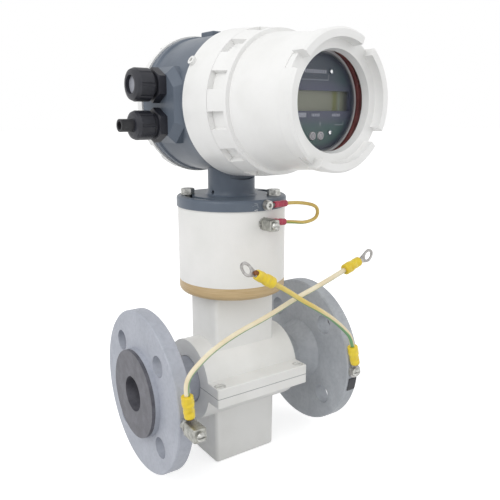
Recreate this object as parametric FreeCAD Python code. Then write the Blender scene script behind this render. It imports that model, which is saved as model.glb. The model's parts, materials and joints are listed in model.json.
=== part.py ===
"""Electromagnetic flow meter: a flanged pipe sensor carrying a swivelling converter head.

The origin is the centre of the flow bore.  +X runs along the pipe from the inlet flange to the
outlet flange, +Z is up, and the display looks towards -Y.  All sizes are in millimetres.
Each function makes one piece, or one group of like fasteners, and build() writes one STEP file each.
"""
import FreeCAD, Part
import math
import os

V = FreeCAD.Vector
ORIGIN = V(0, 0, 0)
X_AXIS = V(1, 0, 0)
Y_AXIS = V(0, 1, 0)
Z_AXIS = V(0, 0, 1)

# ---- fits ----
RUNNING_FIT = 0.06          # radial clearance of a turning or sliding fit
JOINT_GAP = 0.1             # gap between flat faces that move past each other
LOOSE_GAP = 0.3             # clearance round pieces that only pass by

# ---- pipe, liner and flanges ----
FACE_TO_FACE = 200.0
BORE_RADIUS = 15.0
LINER_WALL = 1.8
LINER_FLARE_RADIUS = 37.4
LINER_FLARE_THICKNESS = 3.0
TUBE_WALL = 2.0
FLANGE_RADIUS = 70.0
FLANGE_THICKNESS = 13.0
FLANGE_CHAMFER = 1.0
RAISED_FACE_RADIUS = 38.0
RAISED_FACE_HEIGHT = 4.0
BOLT_CIRCLE_DIAMETER = 100.0
BOLT_HOLE_RADIUS = 9.0
BOLT_HOLE_COUNT = 4
HUB_BASE_RADIUS = 29.5
HUB_NECK_RADIUS = 20.6
HUB_TAPER_LENGTH = 17.0

# ---- split sensor housing ----
HOUSING_LENGTH = 94.0
HOUSING_WALL = 3.0
BARREL_RADIUS = 36.0
COLUMN_LENGTH = 62.0
BOX_JOINT_LENGTH = 65.4
BOX_FOOT_LENGTH = 63.1
COLUMN_WIDTH = 43.2
COLUMN_CORNER = 3.5
COLUMN_TOP = 77.7
BOX_BOTTOM = 78.6
BOX_EDGE = 2.5
PLATE_WIDTH = 102.4
PLATE_THICKNESS = 8.4
PLATE_CORNER = 1.4
PLATE_EDGE = 1.0
GASKET_THICKNESS = 0.6
HUB_GROOVE_WIDTH = 0.8
HUB_GROOVE_DEPTH = 1.5
HOUSING_SCREW_END_MARGIN = 5.6
HOUSING_SCREW_SIDE_MARGIN = 6.2
HOUSING_SCREW_RADIUS = 2.5
HOUSING_SCREW_HEAD_RADIUS = 4.6
HOUSING_SCREW_HEAD_HEIGHT = 2.6
HOUSING_SCREW_RECESS = 3.0
SCREW_SLOT_WIDTH = 1.2
SCREW_SLOT_DEPTH = 1.3

# ---- coils and measuring electrodes ----
ELECTRODE_RADIUS = 2.0
ELECTRODE_COLLAR_RADIUS = 3.6
ELECTRODE_NUT_RADIUS = 5.5
ELECTRODE_NUT_HEIGHT = 4.0
ELECTRODE_REACH = 27.0
POLE_LENGTH = 36.0
POLE_WIDTH = 26.0
POLE_TOP = 28.0
POLE_CORE_RADIUS = 8.0
COIL_WALL = 6.6
COIL_CHEEK = 1.5
COIL_END_GAP = 0.5
YOKE_INNER_RADIUS = 29.8
YOKE_THICKNESS = 2.2
YOKE_HALF_WIDTH = 17.5
YOKE_STRIP_LENGTH = 24.0
YOKE_TOP = 60.5

# ---- insulating ring and terminal can ----
CABLE_WAY_RADIUS = 12.0
RING_THICKNESS = 11.0
RING_EDGE = 4.6
CAN_RADIUS = 46.9
CAN_WALL = 4.5
CAN_FLOOR = 4.0
CAN_LEDGE = 2.6
CAN_TOP = 153.0
CAN_LID_THICKNESS = 8.0
SPIGOT_RADIUS = 22.0
SPIGOT_LENGTH = 6.0
SEAL_INNER_RADIUS = 26.0
SEAL_WIDTH = 3.8
SEAL_DEPTH = 2.0
BOARD_LENGTH = 50.0
BOARD_WIDTH = 34.0
BOARD_THICKNESS = 1.6
BOARD_STANDOFF = 5.0
BOARD_LEG_RADIUS = 2.5
BOARD_LEG_INSET = 4.0
STRIP_LENGTH = 35.0
STRIP_WIDTH = 9.0
STRIP_HEIGHT = 10.0
STRIP_OFFSET = 8.0

# ---- swivel disc, bolts and slots ----
HEAD_TURN = 4.0             # the converter stands turned this many degrees about the upright axis
SWIVEL_RANGE = 60.0
SLOT_MARGIN = 1.0
DISC_RADIUS = 47.8
DISC_THICKNESS = 8.9
DISC_EDGE = 2.4
SWIVEL_BOLT_ANGLES = (150.0, -50.0)
SWIVEL_BOLT_CIRCLE_RADIUS = 38.0
SWIVEL_BOLT_RADIUS = 3.0
SWIVEL_BOLT_FLATS = 10.0
SWIVEL_BOLT_HEAD_HEIGHT = 4.2
SWIVEL_WASHER_RADIUS = 6.0
SWIVEL_WASHER_THICKNESS = 1.2
SWIVEL_SLOT_WIDTH = 7.0
NECK_RADIUS = 20.4
NECK_FOOT_RADIUS = 22.8
NECK_FOOT_HEIGHT = 6.0
NECK_HOLE_RADIUS = 1.8
NECK_HOLE_ANGLE = -176.5
NECK_HOLE_HEIGHT = 3.0
NECK_SCALLOP_GAP = 0.8      # the neck is cut back by this much round the path of the front cover

# ---- converter housing; T is measured along its axis towards the viewer of the display ----
HEAD_CLEARANCE = 17.2       # from the top of the disc to the underside of the front cover
BODY_RADIUS = 56.5
BODY_FRONT_T = 12.0
FRONT_RIM_RADIUS = 57.6
FRONT_RIM_T = 15.6
REAR_RIM_RADIUS = 57.8
REAR_RIM_T = -40.0
BODY_REAR_T = -47.0
TERMINAL_BORE_RADIUS = 50.0
PARTITION_REAR_T = 2.0
PARTITION_THICKNESS = 4.0
WAY_STEP = 2.0              # the cable way starts to open this far above the underside of the body
WAY_OVERRUN = 6.0
NOSE_RADIUS = 51.5
NOSE_WALL = 4.5
NOSE_FRONT_T = 60.0
LUG_LENGTH = 18.0
LUG_WIDTH = 13.0
LUG_TOP = 60.4
LUG_T = -25.0
LUG_EDGE = 1.2

# ---- cable glands on their boss ----
GLAND_T = -16.0
GLAND_SPACING = 31.2
GLAND_MIDDLE = -1.3
GLAND_BOSS_REACH = 60.0
GLAND_BOSS_WIDTH = 56.0
GLAND_BOSS_HEIGHT = 60.0
GLAND_BOSS_CORNER = 14.0
GLAND_BOSS_BEVEL = 6.0
GLAND_BOSS_ROOT = 34.0
GLAND_THREAD_RADIUS = 8.0
GLAND_FLATS = 24.0
GLAND_HEX_HEIGHT = 7.0
GLAND_NIPPLE_RADIUS = 9.5
GLAND_NIPPLE_LENGTH = 12.0
GLAND_BORE_RADIUS = 5.6
GLAND_NUT_GAP = 3.0
GLAND_NUT_LENGTH = 15.6
UPPER_NUT_RADIUS = 13.0
LOWER_NUT_RADIUS = 11.6
NUT_MOUTH_RADIUS = 7.2
NUT_GRIP_COUNT = 8
NUT_GRIP_RADIUS = 1.5
PLUG_RECESS = 3.0
STUB_RADIUS = 5.0
STUB_BORE_RADIUS = 3.2
STUB_LENGTH = 10.6

# ---- front cover ----
COVER_PITCH = 3.0
COVER_TURNS = 3.0
THREAD_SPARE = 1.0          # thread left in hand when a cover has come off
COVER_REAR_RADIUS = 59.0
GRIP_REAR_T = 46.8
GRIP_REAR_RADIUS = 57.0
GRIP_FRONT_T = 67.5
GRIP_FRONT_RADIUS = 54.5
GRIP_WALL = 3.5
GRIP_COUNT = 12
GRIP_SWEEP = 14.0
GRIP_DEPTH = 2.2
GRIP_PHASE = 13.5
SLEEVE_REAR_RADIUS = 51.6
SLEEVE_FRONT_RADIUS = 46.8
SLEEVE_WALL = 3.4
BEZEL_REAR_T = 116.5
BEZEL_FRONT_T = 128.6
BEZEL_ROOT_RADIUS = 46.2
BEZEL_RADIUS = 48.9
BEZEL_MOUTH_RADIUS = 42.4
BEZEL_FLOOR_RADIUS = 41.8
BEZEL_FLOOR_T = 121.0
BEZEL_EDGE = 1.6
NOTCH_COUNT = 4
NOTCH_SWEEP = 16.0
NOTCH_PHASE = 57.0
NOTCH_UNDERCUT = 0.6        # the notches run this far in past the wall of the rim
WINDOW_RADIUS = 34.3
WINDOW_MOUTH_RADIUS = 35.5
WINDOW_LIP = 5.6
GLASS_RADIUS = 41.0
GLASS_THICKNESS = 6.0
WINDOW_GASKET_INNER_RADIUS = 37.9
WINDOW_GASKET_LENGTH = 5.0
COVER_SEAL_INNER_RADIUS = 53.0
COVER_SEAL_WIDTH = 3.0
COVER_SEAL_DEPTH = 2.0
LOCK_BOSS_RADIUS = 3.4
LOCK_BOSS_REACH = 61.4
LOCK_BOSS_ANGLE = 148.5
LOCK_BOSS_T = 20.0
LOCK_SCREW_RADIUS = 1.6
LOCK_SCREW_LENGTH = 5.0
LOCK_SCREW_SINK = 1.2

# ---- rear cover ----
REAR_COVER_RADIUS = 59.0
REAR_COVER_RIM = 9.0
REAR_COVER_DEPTH = 15.0
REAR_COVER_FACE_RADIUS = 50.0
REAR_COVER_WALL = 4.0

# ---- electronics and display ----
CARRIER_RADIUS = 42.6
CARRIER_WALL = 2.0
CARRIER_FRONT_T = 100.0
FRAME_OUTER_RADIUS = 37.2
FRAME_INNER_RADIUS = 33.2
FRAME_FRONT_T = 107.5
PANEL_THICKNESS = 2.5
PANEL_SINK = 1.0
LCD_WIDTH = 60.0
LCD_HEIGHT = 14.0
LCD_RISE = 0.9
LCD_FRAME = 1.0
KEY_RADIUS = 3.0
KEY_X = (-7.0, 1.0)
KEY_DROP = 23.6
KEY_PROUD = 0.8
KEY_TRAVEL = 0.8
DISPLAY_SCREW_X = 10.4
DISPLAY_SCREW_RISE = 21.4
DISPLAY_SCREW_RADIUS = 1.2
DISPLAY_SCREW_HEAD_RADIUS = 2.0
DISPLAY_SCREW_HEAD_HEIGHT = 0.8
TERMINAL_COUNT = 6
TERMINAL_PITCH = 9.0
TERMINAL_DEPTH = 12.0
TERMINAL_HEIGHT = 14.0

# ---- crimped ring lugs ----
LEAD_LUG = {"ring": 6.0, "eye": 3.2, "plate": 1.0, "tongue": 5.2, "barrel": 2.7,
            "sleeve": 4.2, "mouth": 4.7, "sleeve_start": 9.0, "sleeve_length": 18.0}
JUMPER_LUG = {"ring": 4.0, "eye": 2.2, "plate": 0.8, "tongue": 3.2, "barrel": 1.7,
              "sleeve": 2.6, "mouth": 2.6, "sleeve_start": 5.9, "sleeve_length": 13.2}
SLEEVE_END = 3.0            # solid end of the sleeve, filled by the insulation of the wire

# ---- earth terminals ----
EARTH_X = 87.0
EARTH_SCREW_RADIUS = 3.0
EARTH_SCREW_GRIP = 10.0
EARTH_HEAD_RADIUS = 4.6
INLET_HEAD_RADIUS = 3.7
EARTH_HEAD_HEIGHT = 3.2
INLET_NUT_HEIGHT = 5.0
INLET_NUT_FLATS = 10.0
CLAMP_SIZE = 11.0
CLAMP_LENGTH = 15.6
CLAMP_SLOT = 2.4
OUTLET_WASHER_RADIUS = 6.2
OUTLET_WASHER_HEIGHT = 1.6
CAN_TERMINAL_HEIGHT = 142.4
CAN_TERMINAL_TURN = 1.8     # the can's terminal stands this many degrees round from the front
CAN_SCREW_RADIUS = 2.0
CAN_SCREW_GRIP = 3.5
CAN_WASHER_RADIUS = 5.4
CAN_WASHER_HEIGHT = 2.0
CAN_WASHER_TEETH = 10
CAN_CLAMP_SIZE = 9.4
CAN_CLAMP_LENGTH = 12.0
JUMPER_SCREW_ANGLE = -90.0
JUMPER_SCREW_DROP = 4.3
JUMPER_SCREW_GRIP = 8.0
JUMPER_WASHER_RADIUS = 4.3
JUMPER_WASHER_HEIGHT = 0.8
JUMPER_HEAD_FLATS = 7.0
JUMPER_HEAD_HEIGHT = 3.0

# ---- wires: radius, and the points of each route between its two sleeves ----
LEAD_RADIUS = 2.1
JUMPER_RADIUS = 1.2
INLET_LEAD_LEAN = 6.0
OUTLET_LEAD_LEAN = 14.0
INLET_LEAD_RUN = 7.4        # straight run out of the sleeve
OUTLET_LEAD_RUN = 9.5
JUMPER_RUN = 8.0
INLET_LEAD_POINTS = [(-87.6, -77.6, 42.0), (-79.7, -77.3, 48.8), (-66.0, -76.6, 57.5), (-43.0, -75.7, 66.2),
                     (-15.0, -74.7, 72.6), (13.0, -73.9, 82.4), (42.5, -73.2, 90.0), (69.2, -72.6, 98.6)]
OUTLET_LEAD_POINTS = [(69.5, -75.8, 44.2), (53.5, -78.2, 57.9), (33.5, -80.6, 71.6), (14.0, -82.2, 83.3),
                      (-1.5, -82.8, 94.4), (-15.3, -82.5, 102.6)]
JUMPER_POINTS = [(43.0, -48.9, 156.2), (53.8, -50.0, 153.4), (55.9, -50.4, 147.7), (52.6, -50.6, 142.6),
                 (40.2, -50.5, 139.8)]

# ---- sizes worked out from the ones above ----
HALF_LENGTH = FACE_TO_FACE / 2
SEAL_FACE_X = HALF_LENGTH - LINER_FLARE_THICKNESS
FLANGE_FRONT_X = SEAL_FACE_X - RAISED_FACE_HEIGHT
FLANGE_BACK_X = FLANGE_FRONT_X - FLANGE_THICKNESS
TUBE_INNER_RADIUS = BORE_RADIUS + LINER_WALL
TUBE_RADIUS = TUBE_INNER_RADIUS + TUBE_WALL
HALF_GASKET = GASKET_THICKNESS / 2
PLATE_TOP = HALF_GASKET + PLATE_THICKNESS
HOUSING_SCREW_X = HOUSING_LENGTH / 2 - HOUSING_SCREW_END_MARGIN
HOUSING_SCREW_Y = PLATE_WIDTH / 2 - HOUSING_SCREW_SIDE_MARGIN
CAN_BASE = COLUMN_TOP + RING_THICKNESS
CAN_INNER_RADIUS = CAN_RADIUS - CAN_WALL
CAN_LID_BASE = CAN_TOP - CAN_LID_THICKNESS
DISC_BASE = CAN_TOP + JOINT_GAP
DISC_TOP = DISC_BASE + DISC_THICKNESS
HEAD_HEIGHT = DISC_TOP + HEAD_CLEARANCE + COVER_REAR_RADIUS
PARTITION_FRONT_T = PARTITION_REAR_T + PARTITION_THICKNESS
COVER_REAR_T = FRONT_RIM_T + LOOSE_GAP
COVER_INNER_RADIUS = NOSE_RADIUS + RUNNING_FIT
COVER_TRAVEL = COVER_PITCH * COVER_TURNS
REAR_SPIGOT_LENGTH = COVER_TRAVEL + THREAD_SPARE
GLASS_FRONT_T = BEZEL_FLOOR_T - WINDOW_LIP
GLASS_REAR_T = GLASS_FRONT_T - GLASS_THICKNESS
PANEL_FRONT_T = FRAME_FRONT_T - PANEL_SINK
PANEL_REAR_T = PANEL_FRONT_T - PANEL_THICKNESS
REAR_COVER_T = BODY_REAR_T - LOOSE_GAP
GLAND_NUT_START = GLAND_BOSS_REACH + GLAND_HEX_HEIGHT + GLAND_NUT_GAP
GLAND_NUT_END = GLAND_NUT_START + GLAND_NUT_LENGTH
GLAND_HEIGHTS = (GLAND_MIDDLE + GLAND_SPACING / 2, GLAND_MIDDLE - GLAND_SPACING / 2)
EARTH_SCREW_TIP = FLANGE_RADIUS - EARTH_SCREW_GRIP
INLET_LUG_Y = FLANGE_RADIUS + INLET_NUT_HEIGHT
OUTLET_LUG_Y = FLANGE_RADIUS + OUTLET_WASHER_HEIGHT
CAN_LUG_Y = CAN_RADIUS + CAN_WASHER_HEIGHT
JUMPER_LUG_Y = DISC_RADIUS + JUMPER_WASHER_HEIGHT
JUMPER_SCREW_HEIGHT = DISC_TOP - JUMPER_SCREW_DROP


# ---------------------------------------------------------------- helpers

def turned(profile):
    """Turn a closed outline of (radius, height) corners about the Z axis."""
    corners = [V(radius, 0, height) for radius, height in profile]
    face = Part.Face(Part.makePolygon(corners + corners[:1]))
    return face.revolve(ORIGIN, Z_AXIS, 360)


def rod(radius, low, high):
    """A round rod on the Z axis between two heights."""
    return Part.makeCylinder(radius, high - low, V(0, 0, low))


def tube(outer, inner, low, high):
    """A round tube on the Z axis between two heights."""
    return turned([(inner, low), (outer, low), (outer, high), (inner, high)])


def block(length, width, low, high):
    """A box centred on the Z axis, from one height to another."""
    return Part.makeBox(length, width, high - low, V(-length / 2, -width / 2, low))


def hexagon(flats, low, high):
    """A hexagonal prism on the Z axis, with its corners turned off at the top."""
    corner = flats / math.sqrt(3)
    points = [V(corner * math.cos(math.radians(60 * k)), corner * math.sin(math.radians(60 * k)), low)
              for k in range(6)]
    prism = Part.Face(Part.makePolygon(points + points[:1])).extrude(V(0, 0, high - low))
    crown = (corner - flats / 2) * 0.6
    cutter = turned([(0, low), (corner, low), (corner, high - crown), (corner - 2 * crown, high), (0, high)])
    return prism.common(cutter)


def rounded_slab(length, width, corner, low, high):
    """A flat slab with rounded upright corners."""
    slab = block(length, width, low, high)
    upright = [edge for edge in slab.Edges if edge.tangentAt(edge.FirstParameter).cross(Z_AXIS).Length < 1e-6]
    return slab.makeFillet(corner, upright)


def edges_at(shape, height):
    """The edges of a shape that lie wholly at one height."""
    return [edge for edge in shape.Edges
            if abs(edge.BoundBox.ZMin - height) < 1e-4 and abs(edge.BoundBox.ZMax - height) < 1e-4]


def outer_edge_at(shape, height):
    """The longest edge of a shape at one height."""
    return max(edges_at(shape, height), key=lambda edge: edge.Length)


def turn(shape, axis, degrees):
    """A copy turned about an axis through the origin."""
    copy = shape.copy()
    copy.rotate(ORIGIN, axis, degrees)
    return copy


def move(shape, x=0.0, y=0.0, z=0.0):
    """A copy moved by the given distances."""
    copy = shape.copy()
    copy.translate(V(x, y, z))
    return copy


def along_x(shape):
    """Lay a shape made on the Z axis along the pipe: its +Z becomes +X."""
    return turn(shape, Y_AXIS, 90)


def along_front(shape):
    """Lay a shape made on the Z axis towards the viewer: its +Z becomes -Y, and its +Y becomes +Z."""
    return turn(shape, X_AXIS, 90)


def on_head(shape):
    """Turn a shape made in the square position with the converter head."""
    return turn(shape, Z_AXIS, HEAD_TURN)


def on_display_axis(shape):
    """Place a shape made on the Z axis on the converter's axis, where its +Z faces the viewer."""
    return on_head(move(along_front(shape), z=HEAD_HEIGHT))


def on_gland_axis(shape, rise):
    """Place a shape made on the Z axis on a gland's axis, where its +Z points out of the housing."""
    return on_head(move(turn(shape, Y_AXIS, -90), y=-GLAND_T, z=HEAD_HEIGHT + rise))


def fused(shapes):
    """Join shapes into one solid and clean its seams."""
    return shapes[0].multiFuse(shapes[1:]).removeSplitter()


def ring_of(shape, count, phase=0.0):
    """Copies of a shape spaced evenly about the Z axis."""
    return [turn(shape, Z_AXIS, phase + 360.0 * k / count) for k in range(count)]


def sector(outer, inner, sweep, low, high):
    """A slice of a tube centred on the X axis."""
    half = math.radians(sweep / 2)
    corners = [(inner, -half), (outer, -half), (outer, half), (inner, half)]
    points = [V(radius * math.cos(angle), radius * math.sin(angle), low) for radius, angle in corners]
    outer_arc = Part.Arc(points[1], V(outer, 0, low), points[2]).toShape()
    inner_arc = Part.Arc(points[3], V(inner, 0, low), points[0]).toShape()
    lower_side = Part.LineSegment(points[0], points[1]).toShape()
    upper_side = Part.LineSegment(points[2], points[3]).toShape()
    wire = Part.Wire([lower_side, outer_arc, upper_side, inner_arc])
    return Part.Face(wire).extrude(V(0, 0, high - low))


def placed(shape, origin, along, up):
    """Place a shape so that its +X runs along one direction and its +Z leans towards another."""
    x_dir = V(*along).normalize()
    y_dir = V(*up).cross(x_dir).normalize()
    z_dir = x_dir.cross(y_dir)
    matrix = FreeCAD.Matrix(x_dir.x, y_dir.x, z_dir.x, origin[0], x_dir.y, y_dir.y, z_dir.y, origin[1],
                            x_dir.z, y_dir.z, z_dir.z, origin[2], 0, 0, 0, 1)
    copy = shape.copy()
    copy.Placement = FreeCAD.Placement(matrix).multiply(copy.Placement)
    return copy


def slotted_head(radius, height, base):
    """A pan screw head on the Z axis with a driver slot along X."""
    head = turned([(0, base), (radius, base), (radius, base + height * 0.55), (radius * 0.72, base + height),
                   (0, base + height)])
    return head.cut(block(3 * radius, SCREW_SLOT_WIDTH, base + height - SCREW_SLOT_DEPTH, base + height + 1))


# ---------------------------------------------------------------- pipe and flanges

def flange_shape():
    """One weld-neck flange on the Z axis, with its sealing face at +Z."""
    slope_x = FLANGE_BACK_X - HUB_TAPER_LENGTH
    hub_end = HOUSING_LENGTH / 2 - HUB_GROOVE_DEPTH
    edge = FLANGE_CHAMFER
    body = turned([(TUBE_RADIUS, hub_end), (HUB_NECK_RADIUS, hub_end), (HUB_NECK_RADIUS, slope_x),
                   (HUB_BASE_RADIUS, FLANGE_BACK_X), (FLANGE_RADIUS - edge, FLANGE_BACK_X),
                   (FLANGE_RADIUS, FLANGE_BACK_X + edge), (FLANGE_RADIUS, FLANGE_FRONT_X - edge),
                   (FLANGE_RADIUS - edge, FLANGE_FRONT_X), (RAISED_FACE_RADIUS, FLANGE_FRONT_X),
                   (RAISED_FACE_RADIUS, SEAL_FACE_X), (TUBE_RADIUS, SEAL_FACE_X)])
    hole = move(rod(BOLT_HOLE_RADIUS, FLANGE_BACK_X - 1, FLANGE_FRONT_X + 1), x=BOLT_CIRCLE_DIAMETER / 2)
    return body.cut(Part.makeCompound(ring_of(hole, BOLT_HOLE_COUNT, 180.0 / BOLT_HOLE_COUNT)))


def flange(side):
    """The inlet (-1) or outlet (+1) flange, with a tapped earth hole in the front of its rim."""
    shape = turn(flange_shape(), Y_AXIS, 90 * side)
    earth_hole = along_front(rod(EARTH_SCREW_RADIUS, EARTH_SCREW_TIP, FLANGE_RADIUS + 1))
    return shape.cut(move(earth_hole, x=side * EARTH_X))


def meter_tube():
    """The stainless measuring tube, with a window on each side for the electrodes."""
    shape = along_x(tube(TUBE_RADIUS, TUBE_INNER_RADIUS, -SEAL_FACE_X, SEAL_FACE_X))
    window = ELECTRODE_COLLAR_RADIUS + LOOSE_GAP
    return shape.cut(along_front(rod(window, -TUBE_RADIUS - 1, TUBE_RADIUS + 1)))


def bore_liner():
    """The liner: a thin sleeve in the tube, from face to face."""
    shape = along_x(tube(TUBE_INNER_RADIUS, BORE_RADIUS, -HALF_LENGTH, HALF_LENGTH))
    return shape.cut(along_front(rod(ELECTRODE_RADIUS, -TUBE_RADIUS, TUBE_RADIUS)))


def liner_rim(side):
    """The rim of the liner, turned out over the inlet (-1) or outlet (+1) sealing face."""
    rim = tube(LINER_FLARE_RADIUS, TUBE_INNER_RADIUS, SEAL_FACE_X, HALF_LENGTH)
    return turn(rim, Y_AXIS, 90 * side)


def electrodes():
    """The two measuring electrodes, each a pin with a collar and a nut, across the bore."""
    collar_start = TUBE_INNER_RADIUS + LOOSE_GAP
    nut_start = TUBE_RADIUS + JOINT_GAP
    nut_end = nut_start + ELECTRODE_NUT_HEIGHT
    pin = turned([(0, BORE_RADIUS), (ELECTRODE_RADIUS, BORE_RADIUS), (ELECTRODE_RADIUS, collar_start),
                  (ELECTRODE_COLLAR_RADIUS, collar_start), (ELECTRODE_COLLAR_RADIUS, nut_start),
                  (ELECTRODE_NUT_RADIUS, nut_start), (ELECTRODE_NUT_RADIUS, nut_end),
                  (ELECTRODE_RADIUS, nut_end), (ELECTRODE_RADIUS, ELECTRODE_REACH), (0, ELECTRODE_REACH)])
    front = along_front(pin)
    return Part.makeCompound([front, turn(front, Z_AXIS, 180)])


# ---------------------------------------------------------------- magnet system

def pole_cores():
    """Two saddle pole shoes on the tube, each with its round core."""
    shoe = block(POLE_LENGTH, POLE_WIDTH, 0, POLE_TOP)
    shoe = shoe.cut(along_x(rod(TUBE_RADIUS, -POLE_LENGTH, POLE_LENGTH)))
    core = rod(POLE_CORE_RADIUS, POLE_TOP, YOKE_TOP - YOKE_THICKNESS)
    upper = fused([shoe, core])
    return Part.makeCompound([upper, turn(upper, X_AXIS, 180)])


def field_coils():
    """Two coils wound on bobbins, one round each pole core."""
    low = POLE_TOP + COIL_END_GAP
    high = YOKE_TOP - YOKE_THICKNESS - COIL_END_GAP
    inner = POLE_CORE_RADIUS
    outer = POLE_CORE_RADIUS + COIL_WALL
    waist = outer - COIL_CHEEK / 2
    coil = turned([(inner, low), (outer, low), (outer, low + COIL_CHEEK), (waist, low + COIL_CHEEK),
                   (waist, high - COIL_CHEEK), (outer, high - COIL_CHEEK), (outer, high), (inner, high)])
    return Part.makeCompound([coil, turn(coil, X_AXIS, 180)])


def magnet_yoke():
    """The return strap: straight over both coils and bowed out round the tube."""
    half = YOKE_STRIP_LENGTH / 2
    outer_radius = YOKE_INNER_RADIUS + YOKE_THICKNESS
    inner_half = YOKE_HALF_WIDTH - YOKE_THICKNESS
    inner_top = YOKE_TOP - YOKE_THICKNESS
    outer = fused([along_x(rod(outer_radius, -half, half)),
                   block(YOKE_STRIP_LENGTH, 2 * YOKE_HALF_WIDTH, -YOKE_TOP, YOKE_TOP)])
    inner = fused([along_x(rod(YOKE_INNER_RADIUS, -half - 1, half + 1)),
                   block(YOKE_STRIP_LENGTH + 2, 2 * inner_half, -inner_top, inner_top)])
    return outer.cut(inner)


# ---------------------------------------------------------------- sensor housing

def housing_screw_places():
    """The four corners of the joint plates."""
    return [(sx * HOUSING_SCREW_X, sy * HOUSING_SCREW_Y) for sx in (-1, 1) for sy in (-1, 1)]


def at_screws(shape):
    """Copies of a shape at the four corners of the joint plates."""
    return Part.makeCompound([move(shape, x, y) for x, y in housing_screw_places()])


def hub_openings():
    """What the housing ends leave open: the tube, and a dark groove round each hub."""
    half = HOUSING_LENGTH / 2
    groove = rod(HUB_NECK_RADIUS + HUB_GROOVE_WIDTH, half - HUB_GROOVE_DEPTH, half + 1)
    ends = [along_x(groove), turn(groove, Y_AXIS, -90)]
    return fused([along_x(rod(TUBE_RADIUS, -half, half))] + ends)


def drafted_column():
    """The box of the lower casting, a little shorter at its foot than at the joint, made for z > 0."""
    wide = BOX_JOINT_LENGTH / 2
    narrow = BOX_FOOT_LENGTH / 2
    side = COLUMN_WIDTH / 2
    box = Part.makeWedge(-wide, HALF_GASKET, -side, -side, -narrow, wide, BOX_BOTTOM, side, side, narrow)
    box = turn(box, X_AXIS, 90)
    upright = [edge for edge in box.Edges if abs(edge.tangentAt(edge.FirstParameter).z) > 0.9]
    box = box.makeFillet(COLUMN_CORNER, upright)
    return box.makeFillet(BOX_EDGE, edges_at(box, BOX_BOTTOM))


def housing_half(column, reach):
    """One half casting round its column: half barrel, joint plate and hollows, made for z > 0."""
    plate = rounded_slab(HOUSING_LENGTH, PLATE_WIDTH, PLATE_CORNER, HALF_GASKET, PLATE_TOP)
    plate = plate.makeFillet(PLATE_EDGE, edges_at(plate, PLATE_TOP))
    barrel = along_x(rod(BARREL_RADIUS, -HOUSING_LENGTH / 2, HOUSING_LENGTH / 2))
    barrel = barrel.common(block(HOUSING_LENGTH, 2 * BARREL_RADIUS, HALF_GASKET, BARREL_RADIUS))
    inner_length = HOUSING_LENGTH - 2 * HOUSING_WALL
    inner_barrel = along_x(rod(BARREL_RADIUS - HOUSING_WALL, -inner_length / 2, inner_length / 2))
    inner_column = block(COLUMN_LENGTH - 2 * HOUSING_WALL, COLUMN_WIDTH - 2 * HOUSING_WALL, 0,
                         reach - HOUSING_WALL)
    shell = fused([column, plate, barrel])
    return shell.cut(Part.makeCompound([inner_barrel, hub_openings()])).cut(inner_column)


def upper_housing():
    """The upper casting, with a cable way in its top and sunk seats for the screw heads."""
    column = rounded_slab(COLUMN_LENGTH, COLUMN_WIDTH, COLUMN_CORNER, HALF_GASKET, COLUMN_TOP)
    shell = housing_half(column, COLUMN_TOP)
    shell = shell.cut(rod(CABLE_WAY_RADIUS, COLUMN_TOP - HOUSING_WALL - 1, COLUMN_TOP + 1))
    shell = shell.cut(at_screws(rod(HOUSING_SCREW_RADIUS, 0, PLATE_TOP + 1)))
    seat = rod(HOUSING_SCREW_HEAD_RADIUS + LOOSE_GAP, PLATE_TOP - HOUSING_SCREW_RECESS, PLATE_TOP + 1)
    return shell.cut(at_screws(seat))


def lower_housing():
    """The lower casting: the same half closed at the foot of its box, with tapped corners."""
    shell = housing_half(drafted_column(), BOX_BOTTOM)
    shell = shell.cut(at_screws(rod(HOUSING_SCREW_RADIUS, 0, PLATE_TOP - 1)))
    return turn(shell, X_AXIS, 180)


def housing_gasket():
    """The flat gasket between the two castings, open over the hollow and at the hubs."""
    sheet = rounded_slab(HOUSING_LENGTH, PLATE_WIDTH, PLATE_CORNER, -HALF_GASKET, HALF_GASKET)
    opening = block(HOUSING_LENGTH - 2 * HOUSING_WALL, 2 * (BARREL_RADIUS - HOUSING_WALL), -1, 1)
    sheet = sheet.cut(opening).cut(hub_openings())
    return sheet.cut(at_screws(rod(HOUSING_SCREW_RADIUS, -1, 1)))


def housing_screws():
    """Four slotted screws that hold the castings together."""
    base = PLATE_TOP - HOUSING_SCREW_RECESS
    head = slotted_head(HOUSING_SCREW_HEAD_RADIUS, HOUSING_SCREW_HEAD_HEIGHT, base)
    shank = rod(HOUSING_SCREW_RADIUS, -PLATE_TOP + 1.5, base)
    return at_screws(fused([shank, head]))


# ---------------------------------------------------------------- insulating ring and can

def insulating_ring():
    """The plastic ring under the can, with its lower edge rounded off."""
    ring = tube(CAN_RADIUS, CABLE_WAY_RADIUS, COLUMN_TOP, CAN_BASE)
    return ring.makeFillet(RING_EDGE, [outer_edge_at(ring, COLUMN_TOP)])


def on_can(shape):
    """Place a shape made on the Z axis on the axis of the can's earth terminal."""
    return turn(move(along_front(shape), z=CAN_TERMINAL_HEIGHT), Z_AXIS, CAN_TERMINAL_TURN)


def terminal_can():
    """The turned can, with a floor, a cable way and a ledge for its lid."""
    ledge = CAN_INNER_RADIUS - CAN_LEDGE
    shape = turned([(CABLE_WAY_RADIUS, CAN_BASE), (CAN_RADIUS, CAN_BASE), (CAN_RADIUS, CAN_TOP),
                    (CAN_INNER_RADIUS, CAN_TOP), (CAN_INNER_RADIUS, CAN_LID_BASE), (ledge, CAN_LID_BASE),
                    (ledge, CAN_BASE + CAN_FLOOR), (CABLE_WAY_RADIUS, CAN_BASE + CAN_FLOOR)])
    tip = CAN_RADIUS - CAN_SCREW_GRIP
    return shape.cut(on_can(rod(CAN_SCREW_RADIUS, tip, CAN_RADIUS + 1)))


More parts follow.
